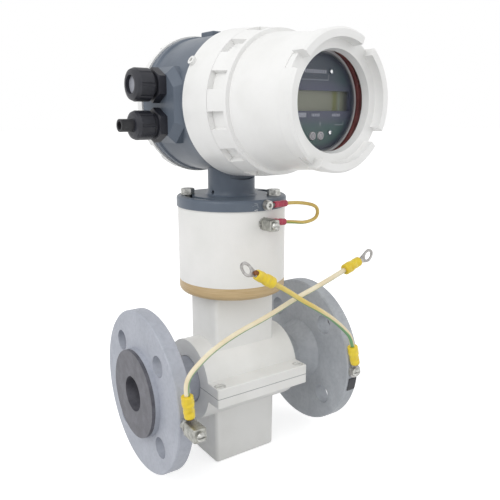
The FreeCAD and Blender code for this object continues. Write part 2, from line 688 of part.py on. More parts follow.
def at_swivel_bolts(shape):
    """Copies of a shape at the two swivel bolts."""
    out = move(shape, x=SWIVEL_BOLT_CIRCLE_RADIUS)
    return Part.makeCompound([turn(out, Z_AXIS, angle) for angle in SWIVEL_BOLT_ANGLES])


def can_top_plate():
    """The lid of the can: it guides the spigot of the head, holds the seal and takes the bolts."""
    seal_outer = SEAL_INNER_RADIUS + SEAL_WIDTH
    floor = CAN_TOP - SEAL_DEPTH
    groove = [(seal_outer, CAN_TOP), (seal_outer, floor),
              (SEAL_INNER_RADIUS, floor), (SEAL_INNER_RADIUS, CAN_TOP)]
    lid = turned([(SPIGOT_RADIUS, CAN_LID_BASE), (CAN_INNER_RADIUS, CAN_LID_BASE),
                  (CAN_INNER_RADIUS, CAN_TOP)] + groove + [(SPIGOT_RADIUS, CAN_TOP)])
    return lid.cut(at_swivel_bolts(rod(SWIVEL_BOLT_RADIUS, CAN_LID_BASE, CAN_TOP + 1)))


def swivel_seal():
    """The seal ring in the lid, under the disc of the head."""
    return tube(SEAL_INNER_RADIUS + SEAL_WIDTH, SEAL_INNER_RADIUS, CAN_TOP - SEAL_DEPTH, CAN_TOP)


def swivel_washers():
    """A plain washer under each swivel bolt."""
    low = DISC_TOP + JOINT_GAP
    return at_swivel_bolts(tube(SWIVEL_WASHER_RADIUS, SWIVEL_BOLT_RADIUS, low, low + SWIVEL_WASHER_THICKNESS))


def swivel_bolts():
    """Two hexagon bolts through the curved slots of the disc into the lid of the can."""
    base = DISC_TOP + JOINT_GAP + SWIVEL_WASHER_THICKNESS
    head = hexagon(SWIVEL_BOLT_FLATS, base, base + SWIVEL_BOLT_HEAD_HEIGHT)
    return at_swivel_bolts(fused([rod(SWIVEL_BOLT_RADIUS, CAN_LID_BASE, base), head]))


def junction_board():
    """The board in the can where the coil and electrode wires are joined, on four standoffs."""
    base = CAN_BASE + CAN_FLOOR
    board = block(BOARD_LENGTH, BOARD_WIDTH, base + BOARD_STANDOFF, base + BOARD_STANDOFF + BOARD_THICKNESS)
    leg = rod(BOARD_LEG_RADIUS, base, base + BOARD_STANDOFF)
    leg_x = BOARD_LENGTH / 2 - BOARD_LEG_INSET
    leg_y = BOARD_WIDTH / 2 - BOARD_LEG_INSET
    legs = [move(leg, x, y) for x in (-leg_x, leg_x) for y in (-leg_y, leg_y)]
    strip = block(STRIP_LENGTH, STRIP_WIDTH, 0, STRIP_HEIGHT)
    strip = move(strip, y=STRIP_OFFSET, z=base + BOARD_STANDOFF + BOARD_THICKNESS)
    return fused([board, strip] + legs)


# ---------------------------------------------------------------- converter housing

def curved_slot():
    """One curved slot of the disc, cut from its start at a swivel bolt, about the Z axis."""
    sweep = SWIVEL_RANGE + 2 * SLOT_MARGIN
    half = SWIVEL_SLOT_WIDTH / 2
    low = DISC_BASE - 1
    high = DISC_TOP + 1
    arc = sector(SWIVEL_BOLT_CIRCLE_RADIUS + half, SWIVEL_BOLT_CIRCLE_RADIUS - half, sweep, low, high)
    arc = turn(arc, Z_AXIS, sweep / 2 - SLOT_MARGIN)
    end = move(rod(half, low, high), x=SWIVEL_BOLT_CIRCLE_RADIUS)
    ends = [turn(end, Z_AXIS, -SLOT_MARGIN), turn(end, Z_AXIS, SWIVEL_RANGE + SLOT_MARGIN)]
    return fused([arc] + ends)


def neck_foot_radius_at(height):
    """The flare at the foot of the neck: a quarter of an ellipse that dies out into the neck."""
    share = 1 - height / NECK_FOOT_HEIGHT
    return NECK_FOOT_RADIUS - (NECK_FOOT_RADIUS - NECK_RADIUS) * math.sqrt(max(0.0, 1 - share ** 2))


def swivel_disc():
    """The disc, neck and spigot that carry the converter housing."""
    disc = rod(DISC_RADIUS, DISC_BASE, DISC_TOP)
    disc = disc.makeFillet(DISC_EDGE, [outer_edge_at(disc, DISC_TOP)])
    steps = [NECK_FOOT_HEIGHT * k / 5.0 for k in range(6)]
    foot = [(neck_foot_radius_at(step), DISC_TOP + step) for step in steps]
    neck = turned([(0, DISC_BASE)] + [(NECK_FOOT_RADIUS, DISC_BASE)] + foot
                  + [(NECK_RADIUS, HEAD_HEIGHT - BODY_RADIUS / 2), (0, HEAD_HEIGHT - BODY_RADIUS / 2)])
    spigot = rod(SPIGOT_RADIUS - RUNNING_FIT, CAN_TOP - SPIGOT_LENGTH, DISC_BASE)
    slots = [turn(curved_slot(), Z_AXIS, angle - HEAD_TURN) for angle in SWIVEL_BOLT_ANGLES]
    shape = fused([disc, neck, spigot]).cut(Part.makeCompound(slots))
    hole = along_x(rod(NECK_HOLE_RADIUS, NECK_RADIUS - 8, NECK_FOOT_RADIUS + 2))
    shape = shape.cut(move(turn(hole, Z_AXIS, NECK_HOLE_ANGLE), z=DISC_TOP + NECK_HOLE_HEIGHT))
    tapped = along_front(rod(CAN_SCREW_RADIUS, DISC_RADIUS - JUMPER_SCREW_GRIP, DISC_RADIUS + 1))
    tapped = turn(tapped, Z_AXIS, JUMPER_SCREW_ANGLE + 90)
    return shape.cut(move(tapped, z=JUMPER_SCREW_HEIGHT))


def gland_boss():
    """The eight-sided pad for the glands, bevelled round its face, made with +Z pointing outwards."""
    pad = block(GLAND_BOSS_WIDTH, GLAND_BOSS_HEIGHT, GLAND_BOSS_ROOT, GLAND_BOSS_REACH)
    upright = [edge for edge in pad.Edges if edge.tangentAt(edge.FirstParameter).cross(Z_AXIS).Length < 1e-6]
    pad = pad.makeChamfer(GLAND_BOSS_CORNER, upright)
    pad = pad.makeChamfer(GLAND_BOSS_BEVEL, edges_at(pad, GLAND_BOSS_REACH))
    pad = turn(pad, Z_AXIS, 90)
    return move(turn(pad, Y_AXIS, -90), y=-GLAND_T, z=GLAND_MIDDLE)


def gland_hole(rise):
    """A tapped gland hole through the boss into the terminal compartment."""
    hole = rod(GLAND_THREAD_RADIUS, GLAND_BOSS_ROOT - 4, GLAND_BOSS_REACH + 1)
    return move(turn(hole, Y_AXIS, -90), y=-GLAND_T, z=rise)


def housing_body():
    """The round casting on its own axis: rims, both compartments, nose, gland boss and lug."""
    rear_rim = [(REAR_RIM_RADIUS - 0.8, BODY_REAR_T), (REAR_RIM_RADIUS, BODY_REAR_T + 0.8),
                (REAR_RIM_RADIUS, REAR_RIM_T), (BODY_RADIUS, REAR_RIM_T + 2)]
    front_rim = [(BODY_RADIUS, BODY_FRONT_T - 1.2), (FRONT_RIM_RADIUS, BODY_FRONT_T),
                 (FRONT_RIM_RADIUS, FRONT_RIM_T), (NOSE_RADIUS, FRONT_RIM_T)]
    nose = [(NOSE_RADIUS, NOSE_FRONT_T), (0, NOSE_FRONT_T)]
    outside = turned([(0, BODY_REAR_T)] + rear_rim + front_rim + nose)
    lug = rounded_slab(LUG_WIDTH, LUG_LENGTH, LUG_EDGE, BODY_RADIUS / 2, LUG_TOP)
    lug = lug.makeFillet(LUG_EDGE, edges_at(lug, LUG_TOP))
    lug = move(lug, y=-LUG_T)
    body = along_front(outside)
    return fused([body, gland_boss(), lug])


def housing_hollows():
    """The terminal compartment behind the partition and the electronics compartment in front of it."""
    rear = along_front(rod(TERMINAL_BORE_RADIUS, BODY_REAR_T - 1, PARTITION_REAR_T))
    front = along_front(rod(NOSE_RADIUS - NOSE_WALL, PARTITION_FRONT_T, NOSE_FRONT_T + 1))
    return [rear, front] + [gland_hole(rise) for rise in GLAND_HEIGHTS]


def converter_housing():
    """The converter casting: swivel disc, neck and two-compartment body in one piece."""
    body = move(housing_body(), z=HEAD_HEIGHT)
    shape = fused([swivel_disc(), body])
    hollows = [move(hollow, z=HEAD_HEIGHT) for hollow in housing_hollows()]
    way_top = HEAD_HEIGHT - TERMINAL_BORE_RADIUS + WAY_OVERRUN
    way = rod(CABLE_WAY_RADIUS, CAN_TOP - SPIGOT_LENGTH - 1, way_top)
    front = block(2 * NECK_RADIUS, 2 * NECK_RADIUS, 0, BODY_RADIUS)
    way = way.cut(move(front, y=-NECK_RADIUS - PARTITION_REAR_T, z=HEAD_HEIGHT - BODY_RADIUS + WAY_STEP))
    sweep = along_front(rod(LOCK_BOSS_REACH + NECK_SCALLOP_GAP, FRONT_RIM_T, FRONT_RIM_T + NECK_FOOT_RADIUS))
    sweep = sweep.cut(along_front(rod(NOSE_RADIUS, FRONT_RIM_T - 1, NOSE_FRONT_T)))
    shape = shape.cut(move(sweep, z=HEAD_HEIGHT))
    return on_head(shape.cut(Part.makeCompound(hollows)).cut(way))


# ---------------------------------------------------------------- glands

def gland_bodies():
    """Two gland bodies: hexagon, housing thread and the threaded nipple under the cap nut."""
    hex_end = GLAND_BOSS_REACH + GLAND_HEX_HEIGHT
    tip = hex_end + GLAND_NIPPLE_LENGTH
    start = GLAND_BOSS_ROOT + 8
    body = fused([hexagon(GLAND_FLATS, GLAND_BOSS_REACH, hex_end), rod(GLAND_THREAD_RADIUS, start, tip),
                  rod(GLAND_NIPPLE_RADIUS, hex_end, tip)])
    body = body.cut(rod(GLAND_BORE_RADIUS, start - 1, tip + 1))
    return Part.makeCompound([on_gland_axis(body, rise) for rise in GLAND_HEIGHTS])


def cap_nut(radius, mouth):
    """A domed cap nut with shallow grip flutes, running on the nipple."""
    dome = radius * 0.3
    thread = GLAND_NIPPLE_RADIUS + RUNNING_FIT
    thread_end = GLAND_BOSS_REACH + GLAND_HEX_HEIGHT + GLAND_NIPPLE_LENGTH + GLAND_NUT_GAP
    nut = turned([(thread, GLAND_NUT_START), (radius - 0.8, GLAND_NUT_START), (radius, GLAND_NUT_START + 0.8),
                  (radius, GLAND_NUT_END - dome), (radius - dome * 0.3, GLAND_NUT_END - dome * 0.3),
                  (radius - dome, GLAND_NUT_END), (mouth, GLAND_NUT_END), (mouth, thread_end),
                  (thread, thread_end)])
    flute = rod(NUT_GRIP_RADIUS, GLAND_NUT_START - 1, GLAND_NUT_END - dome)
    flute = move(flute, x=radius + NUT_GRIP_RADIUS * 0.5)
    return nut.cut(Part.makeCompound(ring_of(flute, NUT_GRIP_COUNT)))


def gland_nut_upper():
    """The cap nut of the upper gland."""
    return on_gland_axis(cap_nut(UPPER_NUT_RADIUS, NUT_MOUTH_RADIUS), GLAND_HEIGHTS[0])


def gland_nut_lower():
    """The cap nut of the lower gland, round the cable stub."""
    return on_gland_axis(cap_nut(LOWER_NUT_RADIUS, STUB_RADIUS + RUNNING_FIT), GLAND_HEIGHTS[1])


def grommet_collar():
    """The collar of a plug or stub, held between the tip of the nipple and the shoulder of the nut."""
    tip = GLAND_BOSS_REACH + GLAND_HEX_HEIGHT + GLAND_NIPPLE_LENGTH
    return rod(GLAND_NIPPLE_RADIUS - LOOSE_GAP, tip + JOINT_GAP, tip + GLAND_NUT_GAP - JOINT_GAP)


def gland_plug():
    """The blanking plug that closes the unused upper gland."""
    start = GLAND_BOSS_REACH + GLAND_HEX_HEIGHT + GLAND_NIPPLE_LENGTH + JOINT_GAP
    disc = rod(NUT_MOUTH_RADIUS - RUNNING_FIT, start, GLAND_NUT_END - PLUG_RECESS)
    return on_gland_axis(fused([grommet_collar(), disc]), GLAND_HEIGHTS[0])


def cable_stub():
    """The open rubber sleeve in the lower gland, ready for a signal cable."""
    low = GLAND_BOSS_REACH + GLAND_HEX_HEIGHT
    high = GLAND_NUT_END + STUB_LENGTH
    shape = fused([rod(STUB_RADIUS, low, high), grommet_collar()])
    return on_gland_axis(shape.cut(rod(STUB_BORE_RADIUS, low - 1, high + 1)), GLAND_HEIGHTS[1])


# ---------------------------------------------------------------- front cover

def cover_shell():
    """The turned front cover: grip ring, tapering sleeve, bezel and window opening."""
    glass_seat = GLASS_REAR_T - WINDOW_GASKET_LENGTH
    sleeve_inner = SLEEVE_REAR_RADIUS - SLEEVE_WALL
    taper = (SLEEVE_REAR_RADIUS - SLEEVE_FRONT_RADIUS) / (BEZEL_REAR_T - GRIP_FRONT_T)
    seat_inner = sleeve_inner - taper * (glass_seat - GRIP_FRONT_T)
    return turned([(COVER_INNER_RADIUS, COVER_REAR_T), (COVER_REAR_RADIUS - 0.8, COVER_REAR_T),
                   (COVER_REAR_RADIUS, COVER_REAR_T + 1.2), (GRIP_REAR_RADIUS, GRIP_REAR_T),
                   (GRIP_FRONT_RADIUS, GRIP_FRONT_T - 0.8), (GRIP_FRONT_RADIUS - 0.8, GRIP_FRONT_T),
                   (SLEEVE_REAR_RADIUS, GRIP_FRONT_T), (SLEEVE_FRONT_RADIUS, BEZEL_REAR_T),
                   (BEZEL_RADIUS, BEZEL_REAR_T), (BEZEL_RADIUS, BEZEL_FRONT_T - BEZEL_EDGE),
                   (BEZEL_RADIUS - BEZEL_EDGE, BEZEL_FRONT_T), (BEZEL_MOUTH_RADIUS, BEZEL_FRONT_T),
                   (BEZEL_FLOOR_RADIUS, BEZEL_FLOOR_T), (WINDOW_MOUTH_RADIUS, BEZEL_FLOOR_T),
                   (WINDOW_RADIUS, GLASS_FRONT_T), (GLASS_RADIUS, GLASS_FRONT_T), (GLASS_RADIUS, glass_seat),
                   (seat_inner, glass_seat), (sleeve_inner, GRIP_FRONT_T), (sleeve_inner, NOSE_FRONT_T + 2),
                   (COVER_INNER_RADIUS, NOSE_FRONT_T + 2)])


def grip_pocket():
    """One pocket of the grip ring."""
    floor = GRIP_FRONT_RADIUS - GRIP_DEPTH
    return sector(COVER_REAR_RADIUS + 2, floor, GRIP_SWEEP, GRIP_REAR_T, GRIP_FRONT_T - GRIP_WALL)


def bezel_notch():
    """One of the notches between the four turning lugs: right through the rim, shallow behind it."""
    outer = BEZEL_RADIUS + 2
    shallow = sector(outer, BEZEL_ROOT_RADIUS, NOTCH_SWEEP, BEZEL_REAR_T - 1, BEZEL_FRONT_T + 1)
    floor = BEZEL_FLOOR_RADIUS - NOTCH_UNDERCUT
    through = sector(outer, floor, NOTCH_SWEEP, BEZEL_FLOOR_T, BEZEL_FRONT_T + 1)
    return fused([shallow, through])


def lock_boss():
    """The little boss on the rear edge of the cover that holds the lock screw."""
    boss = along_x(rod(LOCK_BOSS_RADIUS, COVER_SEAL_INNER_RADIUS + COVER_SEAL_WIDTH + 1, LOCK_BOSS_REACH))
    return move(turn(boss, Z_AXIS, LOCK_BOSS_ANGLE), z=LOCK_BOSS_T)


def lock_hole(low, high):
    """A rod on the axis of the lock screw between two distances from the cover's axis."""
    return move(turn(along_x(rod(LOCK_SCREW_RADIUS, low, high)), Z_AXIS, LOCK_BOSS_ANGLE), z=LOCK_BOSS_T)


def front_cover():
    """The front cover, with its grip pockets, bezel notches, seal groove and lock boss."""
    seal_outer = COVER_SEAL_INNER_RADIUS + COVER_SEAL_WIDTH
    groove = tube(seal_outer, COVER_SEAL_INNER_RADIUS, COVER_REAR_T - 1, COVER_REAR_T + COVER_SEAL_DEPTH)
    cuts = ring_of(grip_pocket(), GRIP_COUNT, GRIP_PHASE) + ring_of(bezel_notch(), NOTCH_COUNT, NOTCH_PHASE)
    low = LOCK_BOSS_REACH - LOCK_SCREW_SINK - LOCK_SCREW_LENGTH
    cuts = cuts + [groove, lock_hole(low, LOCK_BOSS_REACH + 1)]
    return on_display_axis(fused([cover_shell(), lock_boss()]).cut(Part.makeCompound(cuts)))


def window_glass():
    """The thick window pane, seated behind the lip of the bezel."""
    return on_display_axis(rod(GLASS_RADIUS, GLASS_REAR_T, GLASS_FRONT_T))


def window_gasket():
    """The rubber ring that holds the pane from behind."""
    shape = tube(GLASS_RADIUS, WINDOW_GASKET_INNER_RADIUS, GLASS_REAR_T - WINDOW_GASKET_LENGTH, GLASS_REAR_T)
    return on_display_axis(shape)


def cover_lock_screw():
    """The headless lock screw sunk in the boss of the front cover."""
    high = LOCK_BOSS_REACH - LOCK_SCREW_SINK
    return on_display_axis(lock_hole(high - LOCK_SCREW_LENGTH, high))


def front_cover_seal():
    """The seal ring in the rear face of the front cover."""
    outer = COVER_SEAL_INNER_RADIUS + COVER_SEAL_WIDTH - RUNNING_FIT
    low = COVER_REAR_T - LOOSE_GAP + JOINT_GAP
    high = COVER_REAR_T + COVER_SEAL_DEPTH - JOINT_GAP
    return on_display_axis(tube(outer, COVER_SEAL_INNER_RADIUS + RUNNING_FIT, low, high))


# ---------------------------------------------------------------- rear cover

def rear_cover():
    """The blind rear cover, screwed into the terminal compartment, with the same grip pockets."""
    rim_end = REAR_COVER_T - REAR_COVER_RIM
    back = REAR_COVER_T - REAR_COVER_DEPTH
    spigot = TERMINAL_BORE_RADIUS - RUNNING_FIT
    spigot_end = REAR_COVER_T + REAR_SPIGOT_LENGTH
    shape = turned([(0, back), (REAR_COVER_FACE_RADIUS - 2, back), (REAR_COVER_FACE_RADIUS, back + 2),
                    (REAR_COVER_RADIUS - 2, rim_end), (REAR_COVER_RADIUS, rim_end + 2),
                    (REAR_COVER_RADIUS, REAR_COVER_T), (spigot, REAR_COVER_T), (spigot, spigot_end),
                    (spigot - REAR_COVER_WALL, spigot_end),
                    (spigot - REAR_COVER_WALL, back + REAR_COVER_WALL), (0, back + REAR_COVER_WALL)])
    pocket = sector(REAR_COVER_RADIUS + 2, REAR_COVER_RADIUS - GRIP_DEPTH, GRIP_SWEEP, back - 1,
                    REAR_COVER_T - GRIP_WALL)
    seal_outer = COVER_SEAL_INNER_RADIUS + COVER_SEAL_WIDTH
    groove = tube(seal_outer, COVER_SEAL_INNER_RADIUS, REAR_COVER_T - COVER_SEAL_DEPTH, REAR_COVER_T + 1)
    cuts = ring_of(pocket, GRIP_COUNT, GRIP_PHASE) + [groove]
    return on_display_axis(shape.cut(Part.makeCompound(cuts)))


def rear_cover_seal():
    """The seal ring in the face of the rear cover."""
    outer = COVER_SEAL_INNER_RADIUS + COVER_SEAL_WIDTH - RUNNING_FIT
    low = REAR_COVER_T - COVER_SEAL_DEPTH + JOINT_GAP
    high = REAR_COVER_T + LOOSE_GAP - JOINT_GAP
    return on_display_axis(tube(outer, COVER_SEAL_INNER_RADIUS + RUNNING_FIT, low, high))


# ---------------------------------------------------------------- electronics and display

def key_places():
    """Where the two keys stand on the display panel."""
    return [(x, -KEY_DROP) for x in KEY_X]


def electronics_carrier():
    """The plastic tub that fills the front compartment and carries the display."""
    inner = CARRIER_RADIUS - CARRIER_WALL
    lid = CARRIER_FRONT_T - CARRIER_WALL
    shape = turned([(inner, PARTITION_FRONT_T), (CARRIER_RADIUS, PARTITION_FRONT_T),
                    (CARRIER_RADIUS, CARRIER_FRONT_T), (0, CARRIER_FRONT_T), (0, lid), (inner, lid)])
    return on_display_axis(shape)


def display_frame():
    """The bright ring round the display."""
    shape = turned([(FRAME_INNER_RADIUS, CARRIER_FRONT_T), (FRAME_OUTER_RADIUS, CARRIER_FRONT_T),
                    (FRAME_OUTER_RADIUS, FRAME_FRONT_T - 0.8), (FRAME_OUTER_RADIUS - 0.8, FRAME_FRONT_T),
                    (FRAME_INNER_RADIUS, FRAME_FRONT_T)])
    return on_display_axis(shape)


def display_panel():
    """The dark front panel, open over the liquid crystal display and at the keys."""
    panel = rod(FRAME_INNER_RADIUS, PANEL_REAR_T, PANEL_FRONT_T)
    window = move(block(LCD_WIDTH, LCD_HEIGHT, PANEL_REAR_T - 1, PANEL_FRONT_T + 1), y=LCD_RISE)
    key_hole = rod(KEY_RADIUS + LOOSE_GAP, PANEL_REAR_T - 1, PANEL_FRONT_T + 1)
    keys = [move(key_hole, x, y) for x, y in key_places()]
    screw = rod(DISPLAY_SCREW_RADIUS, PANEL_REAR_T - 1, PANEL_FRONT_T + 1)
    screws = [move(screw, DISPLAY_SCREW_X, side * DISPLAY_SCREW_RISE) for side in (-1, 1)]
    return on_display_axis(panel.cut(Part.makeCompound([window] + keys + screws)))


def display_lcd():
    """The display glass behind the panel's window."""
    slab = block(LCD_WIDTH + 2 * LCD_FRAME, LCD_HEIGHT + 2 * LCD_FRAME, CARRIER_FRONT_T, PANEL_REAR_T)
    return on_display_axis(move(slab, y=LCD_RISE))


def display_screws():
    """Two small screws that hold the panel to the carrier."""
    head = rod(DISPLAY_SCREW_HEAD_RADIUS, PANEL_FRONT_T, PANEL_FRONT_T + DISPLAY_SCREW_HEAD_HEIGHT)
    slot = block(6, 0.6, PANEL_FRONT_T + DISPLAY_SCREW_HEAD_HEIGHT / 2, PANEL_FRONT_T + 2)
    screw = fused([rod(DISPLAY_SCREW_RADIUS, CARRIER_FRONT_T, PANEL_FRONT_T), head]).cut(slot)
    places = [move(screw, DISPLAY_SCREW_X, side * DISPLAY_SCREW_RISE) for side in (-1, 1)]
    return on_display_axis(Part.makeCompound(places))


def display_key(index):
    """One round key, free to travel towards the carrier."""
    x, y = key_places()[index]
    high = PANEL_FRONT_T + KEY_PROUD
    key = rod(KEY_RADIUS, CARRIER_FRONT_T + KEY_TRAVEL + JOINT_GAP, high)
    key = key.makeChamfer(0.4, [outer_edge_at(key, high)])
    return on_display_axis(move(key, x, y))


def terminal_block():
    """The row of terminals on the back of the partition."""
    length = TERMINAL_COUNT * TERMINAL_PITCH
    low = PARTITION_REAR_T - TERMINAL_DEPTH
    body = block(length, TERMINAL_HEIGHT, low, PARTITION_REAR_T)
    well = rod(TERMINAL_PITCH * 0.3, low - 1, low + 3)
    wells = [move(well, x=(k + 0.5) * TERMINAL_PITCH - length / 2, y=TERMINAL_HEIGHT * 0.2)
             for k in range(TERMINAL_COUNT)]
    return on_display_axis(body.cut(Part.makeCompound(wells)))


# ---------------------------------------------------------------- ring lugs and their sleeves

def lug_shape(size):
    """A ring lug: eye at the origin, tongue and crimp barrel along +X, plate from z = 0 upwards."""
    ring = rod(size["ring"], 0, size["plate"])
    start = size["sleeve_start"]
    tongue_length = start + 2
    tongue = Part.makeBox(tongue_length, size["tongue"], size["plate"], V(0, -size["tongue"] / 2, 0))
    barrel_end = start + size["sleeve_length"] - SLEEVE_END
    barrel = move(along_x(rod(size["barrel"], start - 0.8, barrel_end)), z=size["barrel"])
    return fused([ring, tongue, barrel]).cut(rod(size["eye"], -1, size["barrel"] * 2 + 1))


def sleeve_shape(size):
    """The plastic sleeve over a lug's barrel, flared at the end where the wire goes in."""
    start = size["sleeve_start"]
    end = start + size["sleeve_length"]
    bore_end = end - SLEEVE_END
    shape = turned([(size["barrel"], start), (size["sleeve"], start), (size["sleeve"], (start + end) / 2),
                    (size["mouth"], (start + end) / 2 + 2), (size["mouth"], end), (0, end), (0, bore_end),
                    (size["barrel"], bore_end)])
    shape = move(along_x(shape), z=size["barrel"])
    tongue = Part.makeBox(start + 2, size["tongue"], size["plate"], V(0, -size["tongue"] / 2, 0))
    return shape.cut(tongue)


def sleeve_mouth(size, origin, along, up):
    """The point where the wire enters a placed sleeve."""
    x_dir = V(*along).normalize()
    y_dir = V(*up).cross(x_dir).normalize()
    z_dir = x_dir.cross(y_dir)
    return V(*origin) + x_dir * (size["sleeve_start"] + size["sleeve_length"]) + z_dir * size["barrel"]


def lean(degrees):
    """A direction that rises and leans towards the inlet by an angle."""
    return (-math.sin(math.radians(degrees)), 0, math.cos(math.radians(degrees)))


FRONT = (0, -1, 0)
INLET_LUG = ((-EARTH_X, -INLET_LUG_Y, 0), lean(INLET_LEAD_LEAN), FRONT)
OUTLET_LUG = ((EARTH_X, -OUTLET_LUG_Y, 0), lean(OUTLET_LEAD_LEAN), FRONT)


def round_lug_place(degrees, reach, height):
    """The place of a lug that stands off an upright cylinder, turned from the front by an angle."""
    angle = math.radians(degrees - 90)
    out = (math.cos(angle), math.sin(angle), 0)
    along = (-math.sin(angle), math.cos(angle), 0)
    return (out[0] * reach, out[1] * reach, height), along, out


CAN_LUG = round_lug_place(CAN_TERMINAL_TURN, CAN_LUG_Y, CAN_TERMINAL_HEIGHT)
HEAD_LUG = round_lug_place(HEAD_TURN, JUMPER_LUG_Y, JUMPER_SCREW_HEIGHT)


def free_place(points):
    """The place of the free lug whose sleeve takes the end of a route."""
    along = V(*points[-2]) - V(*points[-1])
    mouth = sleeve_mouth(LEAD_LUG, (0, 0, 0), tuple(along), FRONT)
    return tuple(V(*points[-1]) - mouth), tuple(along), FRONT


# ---------------------------------------------------------------- wires

def route_edges(points):
    """Straight runs joined by tangent arcs; each arc is as large as its two runs allow."""
    edges = []
    radii = []
    start = points[0]
    for before, corner, after in zip(points, points[1:], points[2:]):
        run_in = corner - before
        run_out = after - corner
        turn_angle = run_in.getAngle(run_out)
        setback = 0.45 * min(run_in.Length, run_out.Length)
        radii.append(setback / math.tan(turn_angle / 2))
        first = corner - run_in.normalize() * setback
        last = corner + run_out.normalize() * setback
        bisector = (last - corner).normalize() + (first - corner).normalize()
        reach = radii[-1] / math.cos(turn_angle / 2) - radii[-1]
        middle = corner + bisector.normalize() * reach
        edges.append(Part.LineSegment(start, first).toShape())
        edges.append(Part.Arc(first, middle, last).toShape())
        start = last
    edges.append(Part.LineSegment(start, points[-1]).toShape())
    return edges, radii


def wire_tube(name, points, radius):
    """A round wire swept along its route; its length, volume and bend radii are printed."""
    points = [V(*point) for point in points]
    edges, radii = route_edges(points)
    path = Part.Wire(edges)
    direction = points[1] - points[0]
    section = Part.Wire([Part.makeCircle(radius, points[0], direction)])
    shape = path.makePipeShell([section], True, False)
    expected = math.pi * radius ** 2 * path.Length
    print(name, "length", round(path.Length, 1), "volume ratio", round(shape.Volume / expected, 4),
          "radii", [round(value, 1) for value in radii])
    return shape


def sleeve_exit(size, place, run):
    """The mouth of a placed sleeve and the point a straight run beyond it."""
    mouth = sleeve_mouth(size, *place)
    return [mouth, mouth + V(*place[1]).normalize() * run]


def inlet_lead():
    """The inlet earth lead, from its lug on the flange to its free end."""
    start = sleeve_exit(LEAD_LUG, INLET_LUG, INLET_LEAD_RUN)
    return wire_tube("inlet_lead", start + INLET_LEAD_POINTS, LEAD_RADIUS)


def outlet_lead():
    """The outlet earth lead, from its lug on the flange to its free end."""
    start = sleeve_exit(LEAD_LUG, OUTLET_LUG, OUTLET_LEAD_RUN)
    return wire_tube("outlet_lead", start + OUTLET_LEAD_POINTS, LEAD_RADIUS)


def jumper_wire():
    """The short loop that earths the head to the can."""
    start = sleeve_exit(JUMPER_LUG, HEAD_LUG, JUMPER_RUN)
    end = sleeve_exit(JUMPER_LUG, CAN_LUG, JUMPER_RUN)
    return wire_tube("jumper_wire", start + JUMPER_POINTS + end[::-1], JUMPER_RADIUS)


# ---------------------------------------------------------------- earth terminals

def earth_screws():
    """The slotted screws of the inlet, outlet and can terminals."""
    inlet_head = INLET_LUG_Y + LEAD_LUG["plate"] + CLAMP_LENGTH
    outlet_head = OUTLET_LUG_Y + LEAD_LUG["plate"]
    can_head = CAN_LUG_Y + JUMPER_LUG["plate"] + CAN_CLAMP_LENGTH
    inlet = fused([rod(EARTH_SCREW_RADIUS, EARTH_SCREW_TIP, inlet_head),
                   slotted_head(INLET_HEAD_RADIUS, EARTH_HEAD_HEIGHT, inlet_head)])
    outlet = fused([rod(EARTH_SCREW_RADIUS, EARTH_SCREW_TIP, outlet_head),
                    slotted_head(EARTH_HEAD_RADIUS, EARTH_HEAD_HEIGHT, outlet_head)])
    can = fused([rod(CAN_SCREW_RADIUS, CAN_RADIUS - CAN_SCREW_GRIP, can_head),
                 slotted_head(EARTH_HEAD_RADIUS * 0.8, EARTH_HEAD_HEIGHT * 0.8, can_head)])
    return Part.makeCompound([move(along_front(inlet), x=-EARTH_X), move(along_front(outlet), x=EARTH_X),
                              on_can(can)])


def earth_washers():
    """The nut under the inlet lug, the washer under the outlet lug and the toothed washer on the can."""
    nut = hexagon(INLET_NUT_FLATS, FLANGE_RADIUS, INLET_LUG_Y)
    nut = nut.cut(rod(EARTH_SCREW_RADIUS, EARTH_SCREW_TIP, INLET_LUG_Y + 1))
    washer = tube(OUTLET_WASHER_RADIUS, EARTH_SCREW_RADIUS, FLANGE_RADIUS, OUTLET_LUG_Y)
    toothed = tube(CAN_WASHER_RADIUS, CAN_SCREW_RADIUS, CAN_RADIUS, CAN_LUG_Y)
    gap = move(rod(0.7, CAN_RADIUS - 1, CAN_LUG_Y + 1), x=CAN_WASHER_RADIUS)
    toothed = toothed.cut(Part.makeCompound(ring_of(gap, CAN_WASHER_TEETH)))
    return Part.makeCompound([move(along_front(nut), x=-EARTH_X), move(along_front(washer), x=EARTH_X),
                              on_can(toothed)])


def clamp_shape(size, length, screw_radius, base):
    """A saddle clamp block on the Z axis, split for a bare conductor near its foot."""
    body = rounded_slab(size, size, 1.5, base, base + length)
    body = body.makeFillet(0.8, edges_at(body, base + length))
    slit = Part.makeBox(size, size, CLAMP_SLOT, V(screw_radius + 0.8, -size / 2, base + 1.6))
    return body.cut(Part.makeCompound([rod(screw_radius, base - 1, base + length + 1), slit]))


def earth_clamps():
    """The clamp blocks of the inlet terminal and of the can terminal."""
    inlet = clamp_shape(CLAMP_SIZE, CLAMP_LENGTH, EARTH_SCREW_RADIUS, INLET_LUG_Y + LEAD_LUG["plate"])
    can = clamp_shape(CAN_CLAMP_SIZE, CAN_CLAMP_LENGTH, CAN_SCREW_RADIUS, CAN_LUG_Y + JUMPER_LUG["plate"])
    return Part.makeCompound([move(along_front(inlet), x=-EARTH_X), on_can(can)])


